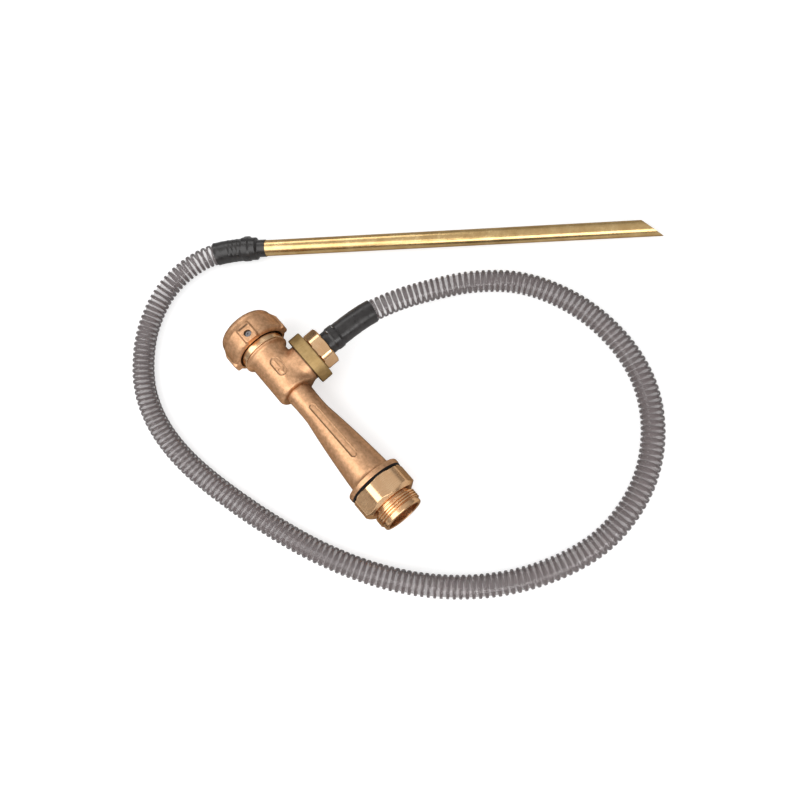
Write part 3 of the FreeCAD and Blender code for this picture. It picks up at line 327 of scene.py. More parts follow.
def soft_finish(name, *, dark, light, rough, place, mottle, lines, dent, **values):
    """Rubber or plastic: colour from dark to light over soft mottles, with a fine skin."""
    material, tree, shader = new_finish(name, **values)
    vector = place(tree)
    patches = grain(tree, vector, mottle, 4.0)
    marks = grain(tree, vector, lines, 3.0)
    tree.links.new(ramp(tree, patches, (0.32, dark), (0.68, light)), shader.inputs["Base Color"])
    low, high = rough
    tree.links.new(ramp(tree, patches, (0.35, low), (0.65, high)), shader.inputs["Roughness"])
    bump = add(tree, "Bump", {"Height": marks, "Strength": dent, "Distance": BUMP_HEIGHT})
    tree.links.new(bump.outputs[0], shader.inputs["Normal"])
    return material


black_rubber = soft_finish(
    "black_rubber",
    dark=(0.006, 0.005, 0.005), light=(0.012, 0.011, 0.010), rough=(0.5, 0.7),
    place=object_place, mottle=150, lines=1200, dent=0.2, Specular_IOR_Level=0.1,
)
white_plastic = soft_finish(
    "white_plastic",
    dark=(0.72, 0.72, 0.70), light=(0.80, 0.80, 0.78), rough=(0.3, 0.42),
    place=object_place, mottle=80, lines=1200, dent=0.05,
)
charcoal_sleeve = soft_finish(
    "charcoal_sleeve",
    dark=(0.013, 0.011, 0.011), light=(0.030, 0.027, 0.026), rough=(0.26, 0.38),
    place=own_place, mottle=150, lines=700, dent=0.35,
)
print("materials so far:", len(bpy.data.materials))

# %% [markdown]
# ## The floor and the light
# A plain white table under soft light. The floor is a diffuse sheet that keeps the object's shadow;
# a little light of its own, seen by the camera only, takes it from pale grey to white.
# %% Floor
floor = put(
    "floor",
    np.array([(-3, -3, FLOOR), (3, -3, FLOOR), (3, 3, FLOOR), (-3, 3, FLOOR)], float),
    np.array([(0, 1, 2, 3)]),
)
floor_paint, tree, shader = new_finish("floor_paint", Roughness=0.9, Specular_IOR_Level=0.1)
shader.inputs["Base Color"].default_value = (0.58, 0.58, 0.58, 1)
rays = add(tree, "LightPath")
glow = add(tree, "Emission", {"Color": (1, 1, 1, 1), "Strength": 0.60})
dark = add(tree, "Emission", {"Color": (0, 0, 0, 1), "Strength": 0.0})
to_camera = rays.outputs["Is Camera Ray"]
seen = add(tree, "MixShader", {0: to_camera, 1: dark.outputs[0], 2: glow.outputs[0]})
both = add(tree, "AddShader", {0: shader.outputs[0], 1: seen.outputs[0]})
tree.links.new(both.outputs[0], tree.nodes["Material Output"].inputs["Surface"])
floor.data.materials.append(floor_paint)

# %% Sky and lamps
world = bpy.data.worlds.new("studio")
bpy.context.scene.world = world
world.use_nodes = True
tree = world.node_tree
height = add(tree, "SeparateXYZ", {0: add(tree, "TexCoord").outputs["Generated"]}).outputs["Z"]
sky = ramp(tree, height, (0.0, 0.22), (0.35, 0.40), (1.0, 0.70))
rays = add(tree, "LightPath")
seen = blend(tree, "MIX", rays.outputs["Is Camera Ray"], sky, (1, 1, 1, 1))
tree.links.new(seen, tree.nodes["Background"].inputs["Color"])


def lamp(name, spot, aim, size, power):
    """A rectangular soft lamp at a spot, turned to shine at aim."""
    data = bpy.data.lights.new(name, "AREA")
    data.shape = "RECTANGLE"
    data.size, data.size_y = size
    data.energy = power
    made = bpy.data.objects.new(name, data)
    way = Vector(aim) - Vector(spot)
    made.matrix_world = Matrix.Translation(spot) @ way.to_track_quat("-Z", "Y").to_matrix().to_4x4()
    bpy.context.scene.collection.objects.link(made)
    print(f"{name}: {power} W")


lamp("soft box", spot=(0.02, -0.72, 1.10), aim=(0.10, 0.05, 0.0), size=(1.5, 1.0), power=10.5)
lamp("kicker", spot=(1.19, -0.225, 0.70), aim=(0.15, 0.10, 0.0), size=(1.3, 0.6), power=9.0)
lamp("side", spot=(-0.9, 0.4, 0.9), aim=(0.1, 0.1, 0.0), size=(0.8, 0.5), power=2.5)

bpy.context.scene.view_settings.view_transform = "Standard"

# %% [markdown]
# ## The suction hose
# Clear soft plastic with a stiff rib wound through its wall, so that it can't collapse under
# suction. It lies in one big loop. The route is the one that the CAD model was built on: points
# laid out in millimetres across the table and above it. A NURBS curve that passes near
# them bends as a real hose does, without corners.
# %% The route
HOSE_ROUTE = [
    (80.485, 58.5, 35.446),
    (80.485, 103.5, 35.446),
    (88.5, 148, 26.0),
    (104.5, 190, 17.5),
    (129, 235, 13.1),
    (170, 275.5, 13.1),
    (231, 299.5, 13.1),
    (295, 302, 13.1),
    (352, 285, 13.1),
    (399, 246, 13.1),
    (429, 193, 13.1),
    (438, 123, 13.1),
    (409, 38, 13.1),
    (350, -35, 13.1),
    (266, -90, 13.1),
    (161, -128, 13.1),
    (55, -152, 13.1),
    (-25, -143, 13.1),
    (-84, -104, 13.1),
    (-117, -57, 13.1),
    (-126.5, -11, 13.9),
    (-115.6, 37.5, 14.88),
    (-84.5, 73.4, 14.4),
]
HOSE_R = 13.0
RIB_PITCH = 6.5


def route_line(points, steps=40):
    """Points of the NURBS curve whose control points these are, read from Blender's own curve."""
    data = bpy.data.curves.new("route", "CURVE")
    data.dimensions = "3D"
    data.resolution_u = steps
    spline = data.splines.new("NURBS")
    spline.points.add(len(points) - 1)
    controls = np.column_stack([points, np.ones(len(points))])
    spline.points.foreach_set("co", controls.ravel())
    spline.order_u = 3
    spline.use_endpoint_u = True
    holder = bpy.data.objects.new("route", data)
    mesh = bpy.data.meshes.new_from_object(holder)
    line = np.zeros(len(mesh.vertices) * 3)
    mesh.vertices.foreach_get("co", line)
    bpy.data.objects.remove(holder)
    bpy.data.meshes.remove(mesh)
    bpy.data.curves.remove(data)
    return line.reshape(-1, 3)


controls = np.array(HOSE_ROUTE) * MM
controls[:, 2] += FLOOR
hose_line = route_line(controls)


def along_line(line):
    """How far along the line each of its points is."""
    return np.concatenate([[0], np.cumsum(np.linalg.norm(np.diff(line, axis=0), axis=1))])


def line_at(line, stations):
    """Points of the line at these distances along it, carried on straight past its ends, with the
    way along it, the side and up."""
    run = along_line(line)

    def at(distances):
        return np.column_stack([np.interp(distances, run, line[:, k]) for k in range(3)])

    step = 0.0005
    inner = np.clip(stations, step, run[-1] - step)
    way = at(inner + step) - at(inner - step)
    way /= np.linalg.norm(way, axis=1)[:, None]
    past = (stations - np.clip(stations, 0, run[-1]))[:, None]
    side = np.cross(way, (0, 0, 1))
    side /= np.linalg.norm(side, axis=1)[:, None]
    return at(stations) + way * past, way, side, np.cross(side, way)


hose_length = along_line(hose_line)[-1]
print(f"hose: {hose_length:.4f} m along its line")

# %% [markdown]
# The wall is one tube swept along the route. The rib lies just under its surface, and between its
# turns the soft wall dips, so the outline is gently scalloped, and the dip winds round with the
# rib.
# %% The clear wall
ROWS_PER_TURN = 8


def swept(name, line, stations, radii, columns):
    """Tube about a line: the point at station s and angle a stands radius(s, a) from the line, at
    cos a to the side and sin a up."""
    angle = np.linspace(0, math.tau, columns, endpoint=False)
    point, _, side, up = line_at(line, stations)
    radius = radii(stations[:, None] / MM, angle[None, :]) * MM
    cosine, sine = np.cos(angle)[None, :, None], np.sin(angle)[None, :, None]
    grid = point[:, None] + radius[..., None] * (cosine * side[:, None] + sine * up[:, None])
    far = np.repeat(stations[:, None], columns, 1)
    own = np.stack([far, radius * np.cos(angle), radius * np.sin(angle)], -1)
    return closed_skin(name, grid, own, False)


def wall_radius(s, a):
    """Dips by 0.2 mm half way between the rib's turns: r = 12.88 - 0.2 (0.5 - 0.5 cos)^0.6."""
    dip = 0.5 - 0.5 * np.cos(math.tau * s / RIB_PITCH - a)
    return HOSE_R - 0.12 - 0.2 * dip**0.6


stations = np.linspace(0, hose_length, int(hose_length / MM / RIB_PITCH * ROWS_PER_TURN))
hose_wall = swept("hose_wall", hose_line, stations, wall_radius, columns=44)
clear_wall, tree, shader = new_finish("clear_wall", Roughness=0.12, IOR=1.8, Specular_IOR_Level=0.9)
vector = own_place(tree)
haze_and_painted_shade = grain(tree, vector, 120, 3.0)
milky = ramp(tree, haze_and_painted_shade, (0.3, (0.72, 0.63, 0.635)), (0.7, (0.85, 0.78, 0.78)))
tree.links.new(milky, shader.inputs["Base Color"])
facing = add(tree, "LayerWeight", {"Blend": 0.35}).outputs["Facing"]
cover = ramp(tree, facing, (0.0, 0.13), (0.8, 0.07), (1.0, 0.07))
tree.links.new(cover, shader.inputs["Alpha"])

# %% [markdown]
# The rib is a strip that winds round in the wall, one turn every 6.5 mm. It is a small rounded
# section carried along a helix about the same line: about 227 turns, so each has only a few faces.
# It is smoky rather than black: light comes through its face, and its sides look dark.
# %% The wound rib
PER_TURN, SECTION = 24, 8
RIB_R, RIB_HALF_WIDTH, RIB_HALF_HEIGHT = 11.8, 1.6, 0.85
turns = hose_length / MM / RIB_PITCH
wind = np.linspace(0, math.tau * turns, int(turns * PER_TURN))
distance = wind / math.tau * RIB_PITCH * MM
point, way, side, up = line_at(hose_line, distance)
outward = np.cos(wind)[:, None] * side + np.sin(wind)[:, None] * up
round_angle = np.linspace(0, math.tau, SECTION, endpoint=False)
along_way = RIB_HALF_WIDTH * np.cos(round_angle)
across_way = RIB_R + RIB_HALF_HEIGHT * np.sin(round_angle)
grid = point[:, None] + MM * (
    along_way[None, :, None] * way[:, None] + across_way[None, :, None] * outward[:, None]
)
own = np.stack([np.repeat(distance[:, None], SECTION, 1), grid[..., 0], grid[..., 1]], -1)
hose_rib = closed_skin("hose_rib", grid, own, False)
rib_grey = soft_finish(
    "rib_grey",
    dark=(0.036, 0.019, 0.018), light=(0.056, 0.034, 0.032), rough=(0.3, 0.45),
    place=own_place, mottle=100, lines=900, dent=0.1, Specular_IOR_Level=0.25,
)
tree = rib_grey.node_tree
facing = add(tree, "LayerWeight", {"Blend": 0.5}).outputs["Facing"]
smoke = ramp(tree, facing, (0.0, 0.60), (0.6, 0.70), (0.95, 0.90))
tree.links.new(smoke, tree.nodes["Principled BSDF"].inputs["Alpha"])
dress(hose_wall, clear_wall, "eductor", "clear_hose", "suction_hose")
dress(hose_rib, rib_grey, "eductor", "clear_hose")

# %% [markdown]
# The bore is a second skin inside the ribs, a sheet of painted shade for the hose's own shadow on
# the table seen through its clear walls. Through it the far side of the hose only glimmers, while
# the rim of the hose, where no light passes the bore, stays clear between the ribs. The painted
# shade thins towards both ends.
# %% The bore's skin of painted shade
BORE_R = 10.4
stations = np.linspace(0, hose_length, 400)


def bore_radius(s, a):
    """The same all along and all round."""
    return np.full(np.broadcast(s, a).shape, BORE_R)


hose_painted_shade_skin = swept("hose_painted_shade_skin", hose_line, stations, bore_radius, columns=32)
bore_painted_shade, tree, shader = new_finish("bore_painted_shade", Roughness=0.3)
streaks = grain(tree, own_place(tree), 60, 3.0, (0.4, 1, 1))
# The colour of the painted shade, in streaks.
painted_shade_tone = ramp(tree, streaks, (0.3, (0.085, 0.058, 0.058)), (0.7, (0.19, 0.142, 0.140)))
tree.links.new(painted_shade_tone, shader.inputs["Base Color"])
run = add(tree, "SeparateXYZ", {0: own_place(tree)}).outputs["X"]
from_middle = add(tree, "Math", {0: run, 1: hose_length / 2}, operation="SUBTRACT").outputs[0]
from_middle = add(tree, "Math", {0: from_middle}, operation="ABSOLUTE").outputs[0]
to_end = add(tree, "Math", {0: from_middle, 1: hose_length / 2}, operation="DIVIDE").outputs[0]
# Painted shade: thickest along the hose's middle, thinning towards both ends.
thick = ramp(tree, to_end, (0.70, 1.0), (0.92, 0.22))
haze_and_painted_shade = blend(tree, "MULTIPLY", 1.0, ramp(tree, streaks, (0.3, 0.38), (0.7, 0.58)), thick)
tree.links.new(haze_and_painted_shade, shader.inputs["Alpha"])
dress(hose_painted_shade_skin, bore_painted_shade, "eductor", "clear_hose")
[tuple(p) for p in line_at(hose_line, np.linspace(0, hose_length, 400))[0]]

# %% [markdown]
# ## Outlines
# Turned pieces, sleeves and the tube all start as a closed outline of (x, r) corners. No real edge
# is razor sharp: each corner is swapped for a short curve, so that it catches a thin line of light.
# %% Softened and divided outlines


def softened(corners, soft):
    """Each corner P becomes the curve (1 - t)^2 A + 2 t (1 - t) P + t^2 B between the points A
    and B a cut's length before and after it, with one more point on each straight run to hold it
    straight. soft is the longest cut, for all corners or for each."""
    corners = np.array(corners, float)
    before = np.roll(corners, 1, 0) - corners
    after = np.roll(corners, -1, 0) - corners
    back, ahead = np.linalg.norm(before, axis=1), np.linalg.norm(after, axis=1)
    cut = np.minimum(soft, 0.3 * np.minimum(back, ahead))[:, None, None]
    before, after = (before / back[:, None])[:, None], (after / ahead[:, None])[:, None]
    corner = corners[:, None]
    t = np.linspace(0, 1, 5)[None, :, None]
    first, last = corner + before * cut, corner + after * cut
    curve = (1 - t) ** 2 * first + 2 * t * (1 - t) * corner + t**2 * last
    held = [corner + before * cut * 1.6, curve, corner + after * cut * 1.6]
    return np.concatenate(held, 1).reshape(-1, 2)


def divided(outline, step, fine=None):
    """Splits each run of the closed outline into equal parts no longer than step. fine(x, r), if
    given, is the step at each place instead."""
    run = np.roll(outline, -1, 0) - outline
    middle = outline + run / 2
    limit = np.full(len(outline), float(step)) if fine is None else fine(*middle.T)
    count = np.maximum(1, np.ceil(np.linalg.norm(run, axis=1) / limit)).astype(int)
    source = np.repeat(np.arange(len(outline)), count)
    part = (np.arange(len(source)) - np.repeat(np.cumsum(count) - count, count)) / count[source]
    return outline[source] + part[:, None] * run[source]


def wrapped(name, line, outline, columns, radius):
    """A closed outline of (s, r) carried round a line; radius(s, r, a) shapes it."""
    angle = np.linspace(0, math.tau, columns, endpoint=False)[None, :]
    point, _, side, up = line_at(line, outline[:, 0] * MM)
    r = radius(outline[:, :1], outline[:, 1:], angle) * MM
    y, z = r * np.cos(angle), r * np.sin(angle)
    grid = point[:, None] + y[..., None] * side[:, None] + z[..., None] * up[:, None]
    own = np.stack([np.repeat(outline[:, :1] * MM, columns, 1), y, z], -1)
    return closed_skin(name, grid, own, True)


# %% [markdown]
# ## The shrunk sleeves
# Each end of the hose is held by a band clamp under a charcoal heat-shrink sleeve. The sleeve takes
# the shape of what it covers: the clamp's band, its pinched ear, and faintly the hose's ribs. Its
# outline is carried along the hose, and small sums of waves give it its lumps and creases.
# %% Bumps over the clamp
SLEEVE_R, SLEEVE_BORE, OUTSIDE = 13.5, 13.05, 13.2
SLEEVE_COLUMNS, SLEEVE_STEP = 96, 0.8


def plateau(value, start, end, edge):
    """Rises from 0 to 1 at start and falls back at end, each over about an edge's width."""
    return 0.5 * (np.tanh((value - start) / edge * 2) - np.tanh((value - end) / edge * 2))


def over_clamp(s, a, ear):
    """Height over the band, 8 to 16 mm from the hose's end, and over the ear at one angle."""
    turn = (a - ear + math.pi) % math.tau - math.pi
    band = 0.97 * plateau(s, 7.6, 16.4, 1.2)
    return band + 2.45 * plateau(s, 7.4, 16.2, 1.5) * np.exp(-((turn / 0.2) ** 4))


# %% Near sleeve


def near_radius(s, r, a):
    """Outside only: clamp, faint ribs past it, and lumps as sums of sines."""
    ribs = 0.03 * np.cos(math.tau * s / RIB_PITCH - a) * plateau(s, 20, 62, 4)
    lumps = 0.10 * np.sin(0.35 * s + 2 * a) * np.sin(0.21 * s - 3 * a + 1)
    return r + (r > OUTSIDE) * (over_clamp(s, a, math.radians(110)) + ribs + lumps)


outline = [(0.5, SLEEVE_BORE), (0.5, SLEEVE_R), (64, SLEEVE_R), (64, SLEEVE_BORE)]
outline = divided(softened(outline, 0.35), SLEEVE_STEP)
near_sleeve = wrapped("near_sleeve_skin", hose_line, outline, SLEEVE_COLUMNS, near_radius)
dress(near_sleeve, charcoal_sleeve, "eductor", "charcoal_sleeve", "near_sleeve")

# %% Far sleeve
END = hose_length / MM


def far_radius(s, r, a):
    """The same bumps counted from the hose's other end, with slanting creases over its middle."""
    from_end = END - s
    slant = 1.6 * np.sin(a + 0.6) + 0.9 * np.sin(2 * a)
    crease = -np.abs(np.sin(math.tau * from_end / 10.5 + slant)) ** 0.6
    creases = 0.62 * (crease + 0.55) * plateau(from_end, 14, 34, 4) * (0.6 + 0.4 * np.sin(a))
    lumps = 0.12 * np.sin(0.42 * s + 2 * a) * np.sin(0.3 * s - 3 * a + 1)
    lip = 0.25 * plateau(from_end, 48.5, 52, 1.5)
    outside = (r > OUTSIDE) & (s < END + 0.5)
    return r + outside * (over_clamp(from_end, a, math.pi) + creases + lumps + lip)


over_hose = [(END - 50.5, SLEEVE_BORE), (END - 50.5, SLEEVE_R), (END + 0.6, SLEEVE_R)]
over_tube = [(END + 2.7, 10.3), (END + 12.2, 10.3), (END + 12.2, 9.6), (END + 0.1, 9.6)]
outline = [*over_hose, *over_tube, (END + 0.1, SLEEVE_BORE)]
outline = divided(softened(outline, 0.5), SLEEVE_STEP)
far_sleeve = wrapped("far_sleeve_skin", hose_line, outline, SLEEVE_COLUMNS, far_radius)
dress(far_sleeve, charcoal_sleeve, "eductor", "charcoal_sleeve", "far_sleeve")

# %% [markdown]
# ## The pick-up tube
# Drawn brass, cut slantwise so that its mouth can't seal against the bottom of a drum. It is an
# outline carried round a straight line; near the tip each column is shortened by the slant.
# %% Tube
TUBE_R, TUBE_BORE, TUBE_LENGTH = 9.525, 8.325, 502.0
SLANT, SLANT_TURN = 25.3, math.radians(34)
FADE_START, FADE_LENGTH = 380, 120
TUBE = place_on((-0.10087, 0.05450, -0.02236), (0.6551, 0.7554, -0.0099))


def carried_round(name, place, outline, columns, shape=None, painted_shade=None):
    """Point (x, r) of the closed outline at angle a stands at x along, r cos a to the side and
    r sin a up; shape(x, r, a) may change x and r, and the last function gives painted shade by (x,
    r)."""
    angle = np.linspace(0, math.tau, columns, endpoint=False)[None, :]
    x, r = (np.repeat(outline[:, k : k + 1], columns, 1) for k in (0, 1))
    if shape:
        x, r = shape(x, r, angle)
    y, z = r * np.cos(angle), r * np.sin(angle)
    painted_shade_at = painted_shade(x, r) if painted_shade else None
    return closed_skin(name, settle(place, x, y, z), np.stack([x, y, z], -1) * MM, True, painted_shade_at)


def slanted(x, r, a):
    """Takes (1 + cos(a - turn)) / 2 of the slant off a column's end. The change starts at the
    beginning of the tube's last quarter."""
    share = np.clip((x - FADE_START) / FADE_LENGTH, 0, 1)
    return x - SLANT * (TUBE_R + r * np.cos(a - SLANT_TURN)) / (2 * TUBE_R) * share, r


outline = [(0, TUBE_BORE), (0, TUBE_R), (TUBE_LENGTH, TUBE_R), (TUBE_LENGTH, TUBE_BORE)]
outline = divided(softened(outline, 0.25), 8)
tube = carried_round("pickup_tube_drawn", TUBE, outline, columns=96, shape=slanted)
dress(tube, tube_brass, "eductor", "tube_brass", "pickup_tube")

# %% [markdown]
# ## Turned pieces
# A lathe makes the bright collar, the jet nozzle, the outlet's threaded end, the union nut and the
# hose tail. Their hexagons are milled afterwards: a side of a hexagon cuts the turned surface
# wherever it is nearer to the axis, which gives the curved edge that every real nut has.
# %% Helpers for hexagons and threads


def soft_min(a, b, width):
    """The smaller of two values, with the crossing rounded over a width."""
    h = np.clip(0.5 + 0.5 * (b - a) / width, 0, 1)
    return b + (a - b) * h - width * h * (1 - h)


def corner_turn(node, place):
    """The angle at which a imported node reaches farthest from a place's axis."""
    mesh = frame["nodes"][node].data
    found = np.zeros(len(mesh.vertices) * 3)
    mesh.vertices.foreach_get("co", found)
    local = (found.reshape(-1, 3) - place[0]) @ place[1].T
    far = local[np.argmax(np.hypot(local[:, 1], local[:, 2]))]
    return math.atan2(far[2], far[1])


def six_sides(flats, turn, face, collar, run_out, soft):
    """The nearer of the turned surface and the sides, which stand half the flats over the cosine
    of the angle from a side's middle. At the face the piece stays a round collar, and the sides
    run out into it."""

    def shape(x, r, a):
        side = flats / 2 / np.cos((a - turn) % (math.pi / 3) - math.pi / 6)
        milled = np.clip((x - face) / run_out, 0, 1)
        return np.minimum(r, collar + (soft_min(r, side, soft) - collar) * milled)

    return shape


def thread(x, a, pitch):
    """One turn's worth of height, 0 at the root and 1 at the crest, with flats on both."""
    phase = (x / pitch - a / math.tau) % 1.0
    return np.clip(1.7 - 3.6 * np.abs(phase - 0.5) + 0.1, 0, 1) ** 0.9


# %% Collar and jet nozzle
RACE_X, RACE_R, GROOVE_R = 25.5, 26.54, 3.225
half_turn = np.linspace(math.pi, math.tau, 13)
groove_x, groove_r = GROOVE_R * np.cos(half_turn), GROOVE_R * np.sin(half_turn)
race = np.column_stack([RACE_X + groove_x, RACE_R + groove_r])
behind_swivel = [(41.1, 26.5), (41.95, 25.6), (41.95, 19.8), (50, 19.8), (50, 16.8), (42, 19.05)]
outline = [(20.55, 19.05), (20.55, 26.5), *race, *behind_swivel]


def collar_painted_shade(x, r):
    """Painted shade where the collar goes in under the swivel's edge and where it meets the body."""
    return 0.6 * plateau(x, 30, 34.4, 0.6) + 0.7 * plateau(x, 41.5, 44, 0.5)


outline = divided(softened(outline, 0.3), 0.8)
tailpiece = carried_round(
    "inlet_tailpiece_turned", FLOW, outline, columns=144, painted_shade=collar_painted_shade
)
dress(tailpiece, collar_bronze, "eductor", "turned_bronze", "inlet_tailpiece")
ring_groove = [(51.1, 19.8), (51.1, 17.95), (53.0, 17.95), (53.0, 19.8)]
flange = [(50.05, 16.8), (50.05, 19.8), *ring_groove, (54.05, 19.8), (54.05, 16.3)]
cone = [(62.05, 16.3), (92, 7.2), (92, 5), (88, 5)]
outline = divided(softened([*flange, *cone], 0.2), 1.5)
nozzle = carried_round("jet_nozzle_turned", FLOW, outline, columns=96)
dress(nozzle, nozzle_bronze, "eductor", "turned_bronze", "jet_nozzle")

# %% [markdown]
# The outlet's male thread has nine turns to the inch. It is cut into the turned surface: the radius
# drops from crest to root as x / pitch - a / full turn goes through a whole number, and fades out
# at both ends, as a die or a lathe tool leaves it.
# %% Outlet adapter
PITCH = 25.4 / 9
outlet_turn = corner_turn("outlet_adapter", FLOW)
outlet_sides = six_sides(60.0, outlet_turn, face=240.2, collar=30.6, run_out=1.3, soft=0.8)


def outlet_shape(x, r, a):
    """The thread between its ends, the six sides past the flange's face, and else unchanged."""
    cut = 1.75 * (1 - thread(x, a, PITCH)) * plateau(x, 269.2, 278.0, 1.0)
    threaded = (r > 23.9) & (x > 267.8) & (x < 278.3)
    return x, np.where(threaded, r - cut, np.where(x > 240.1, outlet_sides(x, r, a), r))


spigot = [(226.05, 18.0), (226.05, 20.75), (240.2, 20.75)]
hexagon = [(240.2, 30.6), (241.6, 32.4), (261, 32.4), (265, 26.909), (265, 21.5), (267.7, 21.5)]
male = [(267.7, 24.07), (268.9, 25.27), (278.2, 25.27), (278.2, 23.0), (280.2, 23.0)]
lip = [(280.2, 23.5), (282.8, 23.5), (283.8, 22.6), (283.8, 19.3), (265, 19.3), (240.2, 18.0)]
outline = [*spigot, *hexagon, *male, *lip]


def outlet_steps(x, r):
    """Short along the thread and the chamfers, long elsewhere."""
    threaded = (x > 267.7) & (x < 278.3) & (r > 24)
    chamfered = ((x > 260) & (x < 265.1) & (r > 26)) | ((x < 243) & (r > 31))
    return np.where(threaded, 0.2, np.where(chamfered, 0.35, 1.6))


outline = divided(softened(outline, 0.4), 1.6, outlet_steps)
outlet = carried_round("outlet_adapter_turned", FLOW, outline, columns=240, shape=outlet_shape)
dress(outlet, outlet_bronze, "eductor", "outlet_bronze", "outlet_adapter")

# %% Union nut


def nut_painted_shade(x, r):
    """Painted shade on the face that looks at the body."""
    return 0.8 * (x < 28.3)


outline = [(27.5, 26.28), (27.5, 29.9), (42.4, 29.9), (42.4, 23.7), (39.7, 23.7), (39.7, 26.28)]
outline = divided(softened(outline, np.array([0.3, 2.0, 1.6, 0.6, 0.3, 0.3])), 1.5)
nut = carried_round("union_nut_turned", PORT, outline, columns=160, painted_shade=nut_painted_shade)
dress(nut, nut_brass, "nut", "nut_brass", "union_nut")

# %% Hose tail
TAIL_TURN = math.radians(17.5)  # how far round the tail has come to rest
BARB_ROOT, BARB_TOP, BARB_PITCH, BARB_LENGTH = 8.7, 9.475, 5.25, 4.725
tail_turn = corner_turn("hose_tail", PORT) + TAIL_TURN
tail_sides = six_sides(42.4, tail_turn, face=43.0, collar=22.0, run_out=1.0, soft=0.6)
feet = 62.5 + BARB_PITCH * np.arange(4)
root, top = np.full(4, BARB_ROOT), np.full(4, BARB_TOP)
barbs = [(feet, root), (feet + 0.01, top), (feet + BARB_LENGTH, root)]
barbs = np.stack([np.column_stack(corner) for corner in barbs], 1)
neck = [(36.6, 9.1), (36.6, 25.5), (39.6, 25.5), (39.6, 20.0), (43.0, 20.0)]
hexagon = [(43.0, 22.0), (44.0, 22.9), (57.0, 22.9), (58.5, 20.325), (58.5, BARB_ROOT)]
end = [(83.5, BARB_ROOT), (83.5, 6.4), (43.23, 6.4), (43.23, 9.1)]
outline = [*neck, *hexagon, *barbs.reshape(-1, 2), *end]


def tail_shape(x, r, a):
    """The six sides, past the neck."""
    return x, np.where(x > 42.9, tail_sides(x, r, a), r)


def tail_steps(x, r):
    """Short along the hexagon's two chamfers, long elsewhere."""
    return np.where(((x > 56) & (x < 58.6) & (r > 19)) | ((x < 45) & (r > 21.5)), 0.3, 1.4)


outline = divided(softened(outline, 0.35), 1.4, tail_steps)
tail = carried_round("hose_tail_turned", PORT, outline, columns=192, shape=tail_shape)
dress(tail, adapter_brass, "eductor", "adapter_brass", "hose_tail")

# %% [markdown]
# ## Castings
# A sand casting has no sharp joins: where the port's boss meets the barrel, metal fills the corner.
# Joined meshes would show a hard crease there. So each casting is worked out as a field, the
# distance from every point of a fine box of points to the metal's surface, below zero inside. Two
# shapes are joined with a rounded minimum, bores are taken out with a maximum, and the surface is
# where the field is zero.
# %% Fields
TABLE_STEP = 0.25


def outline_field(corners, x, r):
    """Distance from each point of a grid to a closed outline, below zero where a ray from the
    point crosses it an odd number of times."""
    start = np.array(corners, float)
    run = np.roll(start, -1, 0) - start
    px, pr = x[:, None, None] - start[:, 0], r[None, :, None] - start[:, 1]
    t = np.clip((px * run[:, 0] + pr * run[:, 1]) / (run**2).sum(1), 0, 1)
    distance = np.hypot(px - t * run[:, 0], pr - t * run[:, 1]).min(-1)
    rises = (pr < 0) != (pr < run[:, 1])
    with np.errstate(divide="ignore", invalid="ignore"):
        beyond = px < pr * run[:, 0] / run[:, 1]
    return np.where((rises & beyond).sum(-1) % 2, -distance, distance)


def revolved(corners, x, rho):
    """An outline's field turned about the axis: each point reads it at its own distance from the
    axis, between two values of a table."""
    r = np.arange(0, rho.max() + 1, TABLE_STEP)
    flat = outline_field(corners, x, r)
    at = rho / TABLE_STEP
    low = at.astype(int)
    part = at - low
    return flat[:, low] * (1 - part) + flat[:, low + 1] * part


def box_field(x, y, z, half, soft):
    """Distance to a box with rounded edges, from the parts of a point that lie outside it."""
    q = [np.abs(v) - h + soft for v, h in zip((x, y, z), half)]
    outside = np.sqrt(sum(np.maximum(v, 0) ** 2 for v in q))
    return outside + np.minimum(np.maximum(np.maximum(q[0], q[1]), q[2]), 0) - soft


def rod_field(across, along, radius, start, end):
    """Distance to a round bar, across from its axis and along it."""
    side, cap = across - radius, np.abs(along - (start + end) / 2) - (end - start) / 2
    return np.hypot(np.maximum(side, 0), np.maximum(cap, 0)) + np.minimum(np.maximum(side, cap), 0)


def skin_of(name, place, field, axes, painted_shade):
    """Surface nets: a cell whose corners differ in sign gets one vertex, the mean of its edges'
    crossing points; an edge that crosses gets one face, from its four cells. The last function,
    of (x, y, z), gives each vertex its painted shade."""
    cells = np.array(field.shape)
    owners, crossings, turned_over = [], [], []
    for axis in range(3):
        here = np.moveaxis(field, axis, 0)
        a, b = np.moveaxis(here[:-1], 0, axis), np.moveaxis(here[1:], 0, axis)
        found = np.argwhere((a < 0) != (b < 0))
        at = tuple(found.T)
        point = found.astype(float)
        point[:, axis] += a[at] / (a[at] - b[at])
        second, third = (axis + 1) % 3, (axis + 2) % 3
        around = []
        for back in ((1, 1), (0, 1), (0, 0), (1, 0)):
            cell = found.copy()
            cell[:, second] -= back[0]
            cell[:, third] -= back[1]
            around.append(np.ravel_multi_index(cell.T, cells))
        owners.append(np.stack(around, 1))
        crossings.append(point)
        turned_over.append(a[at] >= 0)
    owners, crossings = np.vstack(owners), np.vstack(crossings)
    turned_over = np.concatenate(turned_over)
    quads = np.unique(owners, return_inverse=True)[1].reshape(-1, 4)
    count = np.bincount(quads.ravel())
    spread = np.repeat(crossings, 4, 0)
    middle = np.column_stack([np.bincount(quads.ravel(), spread[:, k]) / count for k in range(3)])
    quads[turned_over] = quads[turned_over][:, ::-1]
    x, y, z = (np.interp(middle[:, k], np.arange(len(axis)), axis) for k, axis in enumerate(axes))
    return put(name, settle(place, x, y, z), quads, painted_shade=painted_shade(x, y, z))


def graded(*spans):
    """Coordinates from the first span's start to the last one's end, with a step of its own in
    each span."""
    return np.concatenate([np.arange(start, end, step) for start, end, step in spans])


